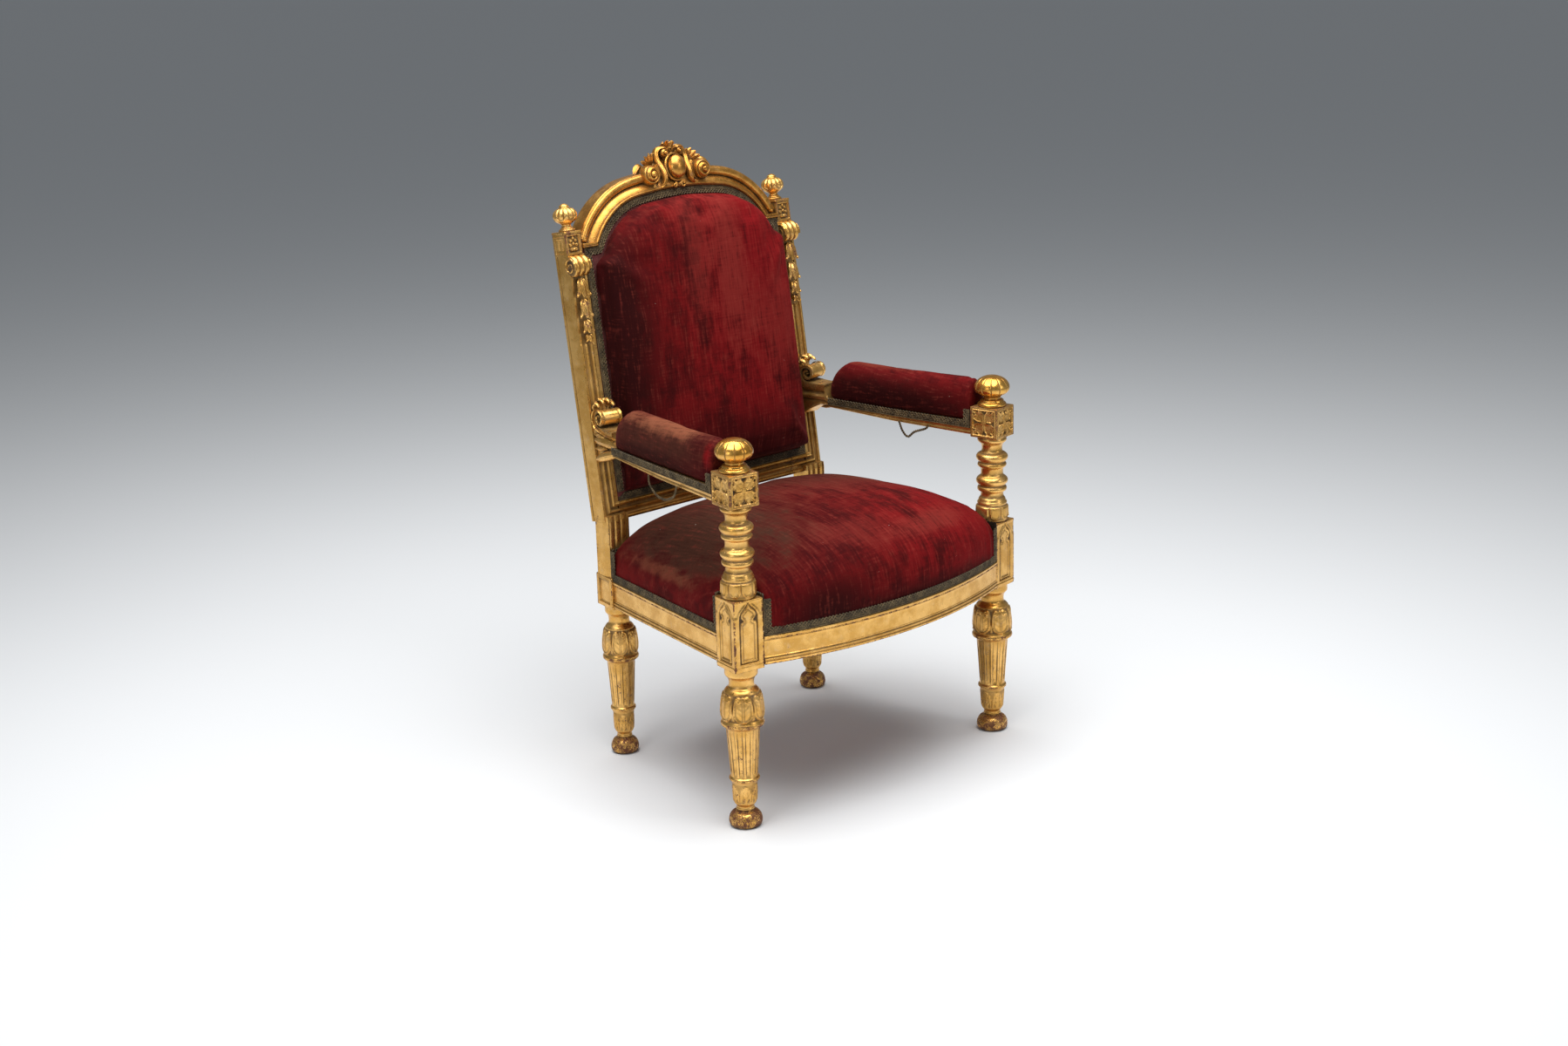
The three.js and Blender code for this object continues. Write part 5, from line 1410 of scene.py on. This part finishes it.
right_side = Shape()
braid(right_side, side_line, on_frame(SIDE_RAIL, lambda a, z, h: (wall_x + h, a, z)))
braid(right_side, [(0, 399), (29 + notch * 2 + 27, 399)], on_frame(FRONT_POST, round_block))
braid(right_side, [(218, 385), (266, 385)], on_frame(PLAIN, lambda a, z, h: (a, 173.2 - h, z)), width=14)
seat_gimp.add(right_side)
seat_gimp.add(right_side, np.diag([-1.0, 1, 1, 1]))
braid(seat_gimp, [(-219, GIMP_FOOT), (219, GIMP_FOOT)], on_frame(PLAIN, rear_run))
single(seat_gimp, "seat_gimp", BRAID, np.eye(4))

back_gimp = Shape()
arch_inset = 2 * ARCH_MID + 0.5
spring = math.asin((325.6 - HAUNCH_UP) / (HAUNCH_R - arch_inset))
x, up = arch_point(arch_inset, spring, np.linspace(1, -1, 49))
edge_x = 231.3
around = [(-edge_x, -130.8), (edge_x, -130.8), (edge_x, 325.6), *zip(x, up), (-edge_x, 325.6), (-edge_x, -114)]
braid(back_gimp, around, on_frame(BACK, lambda a, b, h: (a, -0.35 - h, b)), width=15.2)
single(back_gimp, "back_gimp", BRAID, np.eye(4))

for label, sign in (("outer", 1), ("inner", -1)):
    arm_gimp = Shape()
    braid(arm_gimp, [(29.2, 616), (29.2, 581.4), (200, 582.4), (352, 585)],
          on_frame(ARM, lambda a, z, h: (sign * (28.3 + h), a, z)), width=14.6)
    pair(arm_gimp, f"arm_gimp_{label}", BRAID, np.eye(4))

# ---- Loose edge cords of the braid ----

CORD_RADIUS = 1.7
LEFT_CORD = [(223, 576), (219, 559), (197, 545), (172, 543), (155, 548), (139, 557), (131, 575)]
RIGHT_CORD = [(184, 576), (176, 558), (164, 549), (149, 560), (125, 569), (118, 576)]


def spline(points, steps):
    """A smooth line through the points."""
    p = np.asarray(points, float)
    p = np.vstack([2 * p[0] - p[1], p, 2 * p[-1] - p[-2]])
    out = []
    for i in range(1, len(p) - 2):
        for t in np.arange(steps) / steps:
            out.append(0.5 * (2 * p[i] + (p[i + 1] - p[i - 1]) * t
                              + (2 * p[i - 1] - 5 * p[i] + 4 * p[i + 1] - p[i + 2]) * t * t
                              + (3 * p[i] - p[i - 1] - 3 * p[i + 1] + p[i + 2]) * t ** 3))
    return np.array(out + [p[-2]])


def loose_cord(side, route, cheek):
    """A chain of thread loops, hung in a slack line beside an arm."""
    clear = cheek * (28 + 2 + 0.6 + CORD_RADIUS)
    line = even(spline([(clear, a, z) for a, z in route], 8), 240)
    run = np.concatenate([[0], np.cumsum(np.linalg.norm(np.diff(line, axis=0), axis=1))])
    u = np.array([1.0, 0, 0])
    v = np.cross(unit(np.gradient(line, axis=0)), u)
    shape = Shape()
    for way in (-1, 1):
        a = run * math.pi / 4.3
        strand = line + way * (1.6 * np.sin(a)[:, None] * v + 0.6 * np.cos(a)[:, None] * u)
        tube(shape, strand, 0.95, 7)
        tube(shape, line + 0.3 * way * u + 0.45 * np.sin(2 * a + way)[:, None] * v, 0.4, 6)
    made = shape.object(f"loose_gimp_{side}_look", BRAID, ARM, side == "left")
    finish_piece(made, [f"loose_gimp_{side}"])


loose_cord("left", LEFT_CORD, 1)
loose_cord("right", RIGHT_CORD, -1)

# ---- Upholstery ----


def pillow(name, top, base):
    """A closed form between two grids of points that share their outline."""
    rows, cols = top.shape[:2]
    index = np.arange(rows * cols).reshape(rows, cols)
    faces = np.stack([index[:-1, :-1], index[:-1, 1:], index[1:, 1:], index[1:, :-1]], -1).reshape(-1, 4)
    under = faces[:, ::-1] + rows * cols
    ring = np.concatenate([index[0, :-1], index[:-1, -1], index[-1, :0:-1], index[:0:-1, 0]])
    after = np.roll(ring, -1)
    sides = np.stack([ring, ring + rows * cols, after + rows * cols, after], -1)
    mesh = bpy.data.meshes.new(name)
    points = np.concatenate([top.reshape(-1, 3), base.reshape(-1, 3)]) * MM
    mesh.from_pydata(points.tolist(), [], np.concatenate([faces, under, sides]).tolist())
    clean(mesh)
    return add_object(name, mesh)


def settle(made):
    """Replaces an object's mesh by what its modifiers make of it."""
    bpy.context.view_layer.update()
    result = bpy.data.meshes.new_from_object(made.evaluated_get(bpy.context.evaluated_depsgraph_get()))
    made.modifiers.clear()
    old = made.data
    made.data = result
    bpy.data.meshes.remove(old)


def cut(made, boxes):
    """Takes boxes (half x, half y, low, high, matrix) out of a pad."""
    for half_x, half_y, z0, z1, matrix in boxes:
        shape = Shape()
        block(shape, half_x, half_y, z0, z1, {}, chamfer=0.2)
        cutter = shape.object("cutter", None, matrix)
        tool = made.modifiers.new("cut", "BOOLEAN")
        tool.operation = "DIFFERENCE"
        tool.solver = "EXACT"
        tool.object = cutter
        settle(made)
        bpy.data.objects.remove(cutter)


def points_of(mesh):
    co = np.empty(len(mesh.vertices) * 3)
    mesh.vertices.foreach_get("co", co)
    return co.reshape(-1, 3)


CLOTH_FRAMES = 20
CLOTH = {"quality": 6, "mass": 0.4, "tension_stiffness": 25, "compression_stiffness": 25, "bending_stiffness": 2,
         "use_pressure": True, "uniform_pressure_force": 4.0, "vertex_group_mass": "nailed"}


def plump(made, voxel, held, cap):
    """Remeshes a pad evenly, and lets cloth under pressure swell it.
    held(points) is 1 where the cover is nailed down and 0 where it is free; cap is the furthest that a point moves."""
    tool = made.modifiers.new("even", "REMESH")
    tool.mode = "VOXEL"
    tool.voxel_size = voxel * MM
    settle(made)
    mesh = made.data
    rest = points_of(mesh)
    pins = made.vertex_groups.new(name="nailed")
    weight = np.round(held(rest / MM), 1)
    for level in np.unique(weight):
        if level > 0:
            pins.add(np.flatnonzero(weight == level).tolist(), float(level), "REPLACE")
    scene = bpy.context.scene
    cloth = made.modifiers.new("cloth", "CLOTH")
    for key, value in CLOTH.items():
        setattr(cloth.settings, key, value)
    cloth.settings.effector_weights.gravity = 0
    cloth.point_cache.frame_start = 1
    cloth.point_cache.frame_end = CLOTH_FRAMES
    for step in range(1, CLOTH_FRAMES + 1):
        scene.frame_set(step)
    swollen = made.evaluated_get(bpy.context.evaluated_depsgraph_get())
    moved = points_of(swollen.to_mesh()) - rest
    swollen.to_mesh_clear()
    made.modifiers.clear()
    scene.frame_set(1)
    reach = np.linalg.norm(moved, axis=1, keepdims=True)
    moved *= np.minimum(1, cap * MM / np.maximum(reach, 1e-9))
    mesh.vertices.foreach_set("co", (rest + moved).ravel())
    made.modifiers.new("finer", "SUBSURF").levels = 1
    settle(made)
    made.vertex_groups.clear()


def upholster(made, material, node, wrinkle):
    """Finishes a pad: wrinkle(points) moves its points, in millimetres."""
    mesh = made.data
    mesh.vertices.foreach_set("co", (wrinkle(points_of(mesh) / MM) * MM).ravel())
    mesh.polygons.foreach_set("use_smooth", [True] * len(mesh.polygons))
    mesh.materials.clear()
    mesh.materials.append(material)
    finish_piece(made, [node])


def ease(t):
    return np.sin(t * math.pi / 2)


def fullness(u, v):
    return np.sqrt(np.clip(1 - abs(u) ** 3, 0, 1) * np.clip(1 - abs(v) ** 3, 0, 1))


# The seat.
SEAT_REAR = 190
SEAT_EDGE = 386
SEAT_CROWN = 99
SEAT_FOOT = RAIL_TOP + 0.4
slope = (FRONT_X - REAR_X) / (REAR_Y - FRONT_Y)


def seat_half(y):
    return FRONT_X - (y - FRONT_Y) * slope + (RAIL_HALF_OUT - 3.4) * math.hypot(1, slope)


u, v = np.meshgrid(ease(np.linspace(-1, 1, 110)), ease(np.linspace(-1, 1, 96)))
front = BOW_Y + BOW_R - np.sqrt((BOW_R - 3.4) ** 2 - (u * seat_half(FRONT_Y)) ** 2)
y = front + (v + 1) / 2 * (SEAT_REAR - 0.6 - front)
plan = np.stack([u * seat_half(y), y + SHIFT_Y], -1)
dome = SEAT_EDGE + SEAT_CROWN * fullness(u, v)
seat = pillow("seat_cushion", np.concatenate([plan, dome[..., None]], -1),
              np.concatenate([plan, np.full_like(dome, SEAT_FOOT)[..., None]], -1))
notches = []
for side in (1, -1):
    notches.append((31.6, 31.6, 300, 600, turned_frame(side * FRONT_X, FRONT_Y, side * POST_TURN)))
    notches.append((30.1, 30.1, 300, 348, turned_frame(side * REAR_X, REAR_Y, side * POST_TURN)))
    notches.append((40, 40, 300, 600, turned_frame(side * (218.4 + 40), 173.4 + 40, 0)))
cut(seat, notches)


def seat_held(p):
    """The foot of the pad, and the edges of its notches, are nailed down."""
    foot = smooth(SEAT_FOOT + 26, SEAT_FOOT + 12, p[:, 2])
    near_post = np.hypot(abs(p[:, 0]) - FRONT_X, p[:, 1] - FRONT_Y - SHIFT_Y)
    return np.maximum(foot, smooth(52, 40, near_post))


plump(seat, 10.2, seat_held, 9)


def seat_folds(p):
    """Pulled folds beside the front blocks, and shallow hollows where it has been sat on."""
    x, y, z = p[:, 0], p[:, 1] - SHIFT_Y, p[:, 2]
    top = smooth(392, 420, z)
    sag = np.exp(-((x + 30) / 150) ** 2 - ((y + 20) / 120) ** 2)
    out = p.copy()
    out[:, 2] -= top * 3.0 * sag
    wall = smooth(346, 362, z) * smooth(430, 396, z)
    for side in (-1, 1):
        d = side * x - 262
        corner = np.exp(-((y + 262) / 30) ** 2) * wall * smooth(28, 0, abs(d - 2))
        out[:, 1] += corner * 2.4 * np.sin(d / 4.6)
    ripple = np.sin(x / 23 + 2.1 * np.sin(y / 71)) * np.sin(y / 31 + 1.7 * np.sin(x / 57))
    out[:, 2] += top * 0.7 * ripple
    return out


# Painted light and shade among the seat's zones: the crimson at the front right is painted light, the two dark patches
# low on the front are painted shade, and the narrow pink band along the top of the front at the right is a painted
# highlight. The brown and tan patches are wear.
seat_look = velvet("velvet_seat", (260, 26, 30), (30, 300, 200), (30, 9, 9), [
    (CRIMSON, (0.22, -0.2, 0.4), (0.22, 0.2, 0.12), 0.7), (DARK, (-0.17, -0.3, 0.36), (0.1, 0.06, 0.07), 0.8),
    (DARK, (0.1, -0.3, 0.345), (0.4, 0.08, 0.03), 0.75), (BROWN, (-0.21, 0.0, 0.455), (0.24, 0.27, 0.075), 0.97),
    (BROWN, (-0.05, 0.1, 0.5), (0.2, 0.09, 0.06), 0.6), (TAN, (-0.285, -0.0, 0.398), (0.03, 0.2, 0.014), 0.35),
    (PINK, (0.12, -0.02, 0.49), (0.2, 0.1, 0.05), 0.4), (TAN, (0.2, 0.02, 0.475), (0.09, 0.07, 0.05), 0.28),
    (PINK, (0.13, -0.25, 0.452), (0.13, 0.05, 0.018), 0.5), (DARK, (0.22, 0.17, 0.47), (0.24, 0.16, 0.08), 0.4),
    (BROWN, (0.14, 0.08, 0.48), (0.24, 0.18, 0.06), 0.6), (PINK, (-0.06, -0.22, 0.46), (0.1, 0.06, 0.04), 0.3)])
upholster(seat, seat_look, "seat_pad", seat_folds)

# The back.
PAD_HALF = 216
PAD_LOW = -115
PAD_INSET = 52
PAD_SHOULDER = 190
PAD_WALL = 49


def arch_height(x, inset):
    x = abs(x)
    crown = CROWN_R - inset
    flat = x < crown * math.sin(SPREAD)
    high = CROWN_UP + np.sqrt(np.clip(crown ** 2 - x ** 2, 0, None))
    haunch = HAUNCH_UP + np.sqrt(np.clip((HAUNCH_R - inset) ** 2 - (x - HAUNCH_X) ** 2, 0, None))
    return np.where(flat, high, haunch)


def head_up(x):
    """The height of the pad's head, which falls away in a round past its shoulders."""
    base = float(arch_height(PAD_SHOULDER, PAD_INSET))
    past = np.clip((abs(x) - PAD_SHOULDER) / (PAD_HALF - PAD_SHOULDER), 0, 1)
    return np.where(past > 0, base - (base - 300) * past ** 0.5,
                    arch_height(np.minimum(abs(x), PAD_SHOULDER), PAD_INSET))


u, v = np.meshgrid(ease(np.linspace(-1, 1, 110)), ease(np.linspace(-1, 1, 120)))
x = u * PAD_HALF
up = PAD_LOW + (v + 1) / 2 * (head_up(x) - PAD_LOW)
outline = np.concatenate([np.stack([x[0], up[0]], 1), np.stack([x[:, -1], up[:, -1]], 1),
                          np.stack([x[-1, ::-1], up[-1, ::-1]], 1), np.stack([x[::-1, 0], up[::-1, 0]], 1)])
from_edge = line_distance(x, up, outline[::3], True)
turn_r = 17
corner = 1 - np.sqrt(np.clip(1 - (1 - np.clip(from_edge / turn_r, 0, 1)) ** 2, 0, 1))
face = -(PAD_WALL - turn_r * corner) - 10 * fullness(u, v)
flat = placed(stack(x, -0.4, up), BACK)
bowed = placed(stack(x, face, up), BACK)
back = pillow("back_cushion", bowed, flat)


plump(back, 9, lambda p: smooth(-16, -8, unplaced(p, BACK)[:, 1]), 7)


def back_folds(p):
    q = unplaced(p, BACK)
    front = smooth(-40, -50, q[:, 1])
    wave = np.sin(q[:, 0] / 19 + 1.3 * np.sin(q[:, 2] / 90)) * (0.6 + 0.4 * np.sin(q[:, 2] / 63))
    q[:, 1] += front * 0.6 * wave
    return placed(q, BACK)


# Painted light and shade among the back's zones: the crimson right of the middle is painted light, the dark patches at
# the left and along the bottom are painted shade, and the pink streaks in the middle are crushed pile painted pale as
# sheen. The brown and tan patches at the top left are wear and fading.
back_look = velvet("velvet_back", (260, 40, 22), (30, 40, 300), (26, 26, 7), [
    (CRIMSON, (0.1, 0.2, 0.83), (0.16, 0.2, 0.3), 0.75), (DARK, (-0.21, 0.2, 0.75), (0.075, 0.1, 0.4), 0.9),
    (PINK, (0.05, 0.2, 0.86), (0.05, 0.2, 0.2), 0.5), (PINK, (-0.03, 0.2, 0.9), (0.04, 0.2, 0.16), 0.35),
    (PINK, (0.14, 0.2, 0.75), (0.06, 0.2, 0.14), 0.35), (DARK, (0.0, 0.2, 0.5), (0.3, 0.2, 0.11), 0.7),
    (BROWN, (-0.17, 0.22, 1.0), (0.07, 0.06, 0.035), 0.9), (TAN, (-0.125, 0.22, 1.03), (0.07, 0.05, 0.02), 0.55)])
upholster(back, back_look, "back_pad", back_folds)

# The cloth that closes the back from behind, on its ground.
ground = Shape()
x = 231.2 * ease(np.linspace(1, -1, 60))
top_edge = np.where(abs(x) > 201.5, 325.4, arch_height(np.minimum(abs(x), 201.5), arch_inset))
rim = np.array([(-231.2, -131), (231.2, -131)] + list(zip(x, top_edge)))
middle = np.array([0, 120.0])
rings = [(1, 0.3), (1, 28), (0.985, 30), (0.97, 29.4), (0.9, 29), (0.5, 30.5), (0.1, 31)]
ground.grid(np.stack([stack(middle[0] + (rim[:, 0] - middle[0]) * k, d, middle[1] + (rim[:, 1] - middle[1]) * k)
                      for k, d in rings]))
finish_piece(ground.object("back_ground", LINING, BACK), ["back_pad"])

# The arms' bolsters.
NEAR, FAR = 32.4, 360
PAD_BASE = BAR_TOP + 0.5
PAD_HEIGHT = 670 - PAD_BASE
BOLSTER_HALF = 26.6
u, v = np.meshgrid(ease(np.linspace(-1, 1, 40)), np.linspace(-1, 1, 120))
s = NEAR + (FAR - NEAR) * (v + 1) / 2
past = np.clip((s - (FAR - BOLSTER_HALF)) / BOLSTER_HALF, 0, 1)
narrow = np.sqrt(1 - past ** 2) * 0.97 + 0.03
droop = np.sqrt(1 - np.clip((s - FAR + 60) / 62, 0, 1) ** 2)
front_end = np.sqrt(1 - np.clip(1 - (s - NEAR) / 12, 0, 1) ** 2) * 0.22 + 0.78
arch_of = np.clip(1 - u ** 2, 0, 1) ** 0.3 * 0.82 + 0.18
x = u * BOLSTER_HALF * narrow
z = PAD_BASE + PAD_HEIGHT * np.maximum(arch_of * droop * front_end, 0.1)
top = stack(x, s, z)
base = stack(x, s, PAD_BASE)
# Painted light and shade among the bolsters' zones: the dark patches along the foot of each bolster are painted shade,
# and the narrow crimson band at the tuck near the front of the left bolster is a painted highlight. The brown and tan
# patches on the left bolster are wear.
bolster_look = velvet("velvet_arm", (240, 24, 240), (60, 300, 60), (14, 9, 14), [
    (BROWN, (-0.3, -0.02, 0.64), (0.08, 0.28, 0.06), 0.8), (TAN, (-0.3, 0.02, 0.672), (0.04, 0.24, 0.024), 0.85),
    (DARK, (-0.3, 0.0, 0.603), (0.06, 0.3, 0.022), 0.7), (TAN, (0.27, 0.05, 0.675), (0.03, 0.2, 0.012), 0.25),
    (DARK, (0.25, 0.0, 0.61), (0.06, 0.3, 0.05), 0.9), (CRIMSON, (-0.33, -0.172, 0.64), (0.06, 0.014, 0.03), 0.9)])


def pinch(p):
    """A pulled tuck in each bolster close to the arm's block."""
    out = p.copy()
    for side in (-1, 1):
        m = np.diag([side, 1.0, 1.0, 1.0]) @ ARM
        q = unplaced(p * (side, 1, 1), ARM)
        near = np.exp(-((q[:, 1] - 47) / 4.5) ** 2) * smooth(598, 620, q[:, 2]) * (side * p[:, 0] > 0)
        out[:, 2] -= 2.2 * near
        out -= 1.6 * near[:, None] * np.sign(q[:, :1]) * m[:3, 0]
    return out


for side, sign in (("right", 1), ("left", -1)):
    bolster = pillow(f"arm_cushion_{side}", placed(top, ARM) * (sign, 1, 1), placed(base, ARM) * (sign, 1, 1))
    plump(bolster, 6, lambda p: smooth(PAD_BASE + 16, PAD_BASE + 5, p[:, 2]), 5)
    upholster(bolster, bolster_look, f"arm_pad_{side}", pinch)

# ---- Studio ----

FLOOR_HALF = 60
floor_mesh = bpy.data.meshes.new("floor")
floor_corners = [(-1, -1, 0), (1, -1, 0), (1, 1, 0), (-1, 1, 0)]
floor_mesh.from_pydata([(x * FLOOR_HALF, y * FLOOR_HALF, z) for x, y, z in floor_corners], [], [(0, 1, 2, 3)])
floor = add_object("floor", floor_mesh)
paper = Nodes("floor")
paper.set(Base_Color=(0.86, 0.87, 0.88, 1), Roughness=0.75, Specular_IOR_Level=0.2,
          Normal=paper.bump(paper.noise(30, 3, 0.5), 0.02, 0.001))
floor_mesh.materials.append(paper.material)


def softbox(name, at, aim, size, watts, colour=(1, 1, 1)):
    lamp = add_object(name, bpy.data.lights.new(name, "AREA"))
    lamp.data.shape = "RECTANGLE"
    lamp.data.size, lamp.data.size_y = size
    lamp.data.energy = watts
    lamp.data.color = colour
    lamp.location = at
    lamp.rotation_euler = (Vector(aim) - Vector(at)).to_track_quat("-Z", "Y").to_euler()


softbox("key", (-0.25, -0.2, 2.8), (0.0, 0.0, 0.3), (2.9, 2.9), 120)
softbox("front", (1.2, -3.4, 1.9), (0.0, 0.0, 0.5), (1.2, 1.6), 14)
softbox("left", (-3.4, -0.9, 1.5), (0.0, 0.0, 0.6), (1.2, 1.4), 12)
bpy.context.scene.view_settings.view_transform = "Standard"
world = bpy.data.worlds.new("studio")
bpy.context.scene.world = world
world.use_nodes = True
world.node_tree.nodes["Background"].inputs["Color"].default_value = (0.3, 0.32, 0.34, 1)
world.node_tree.nodes["Background"].inputs["Strength"].default_value = 0.55
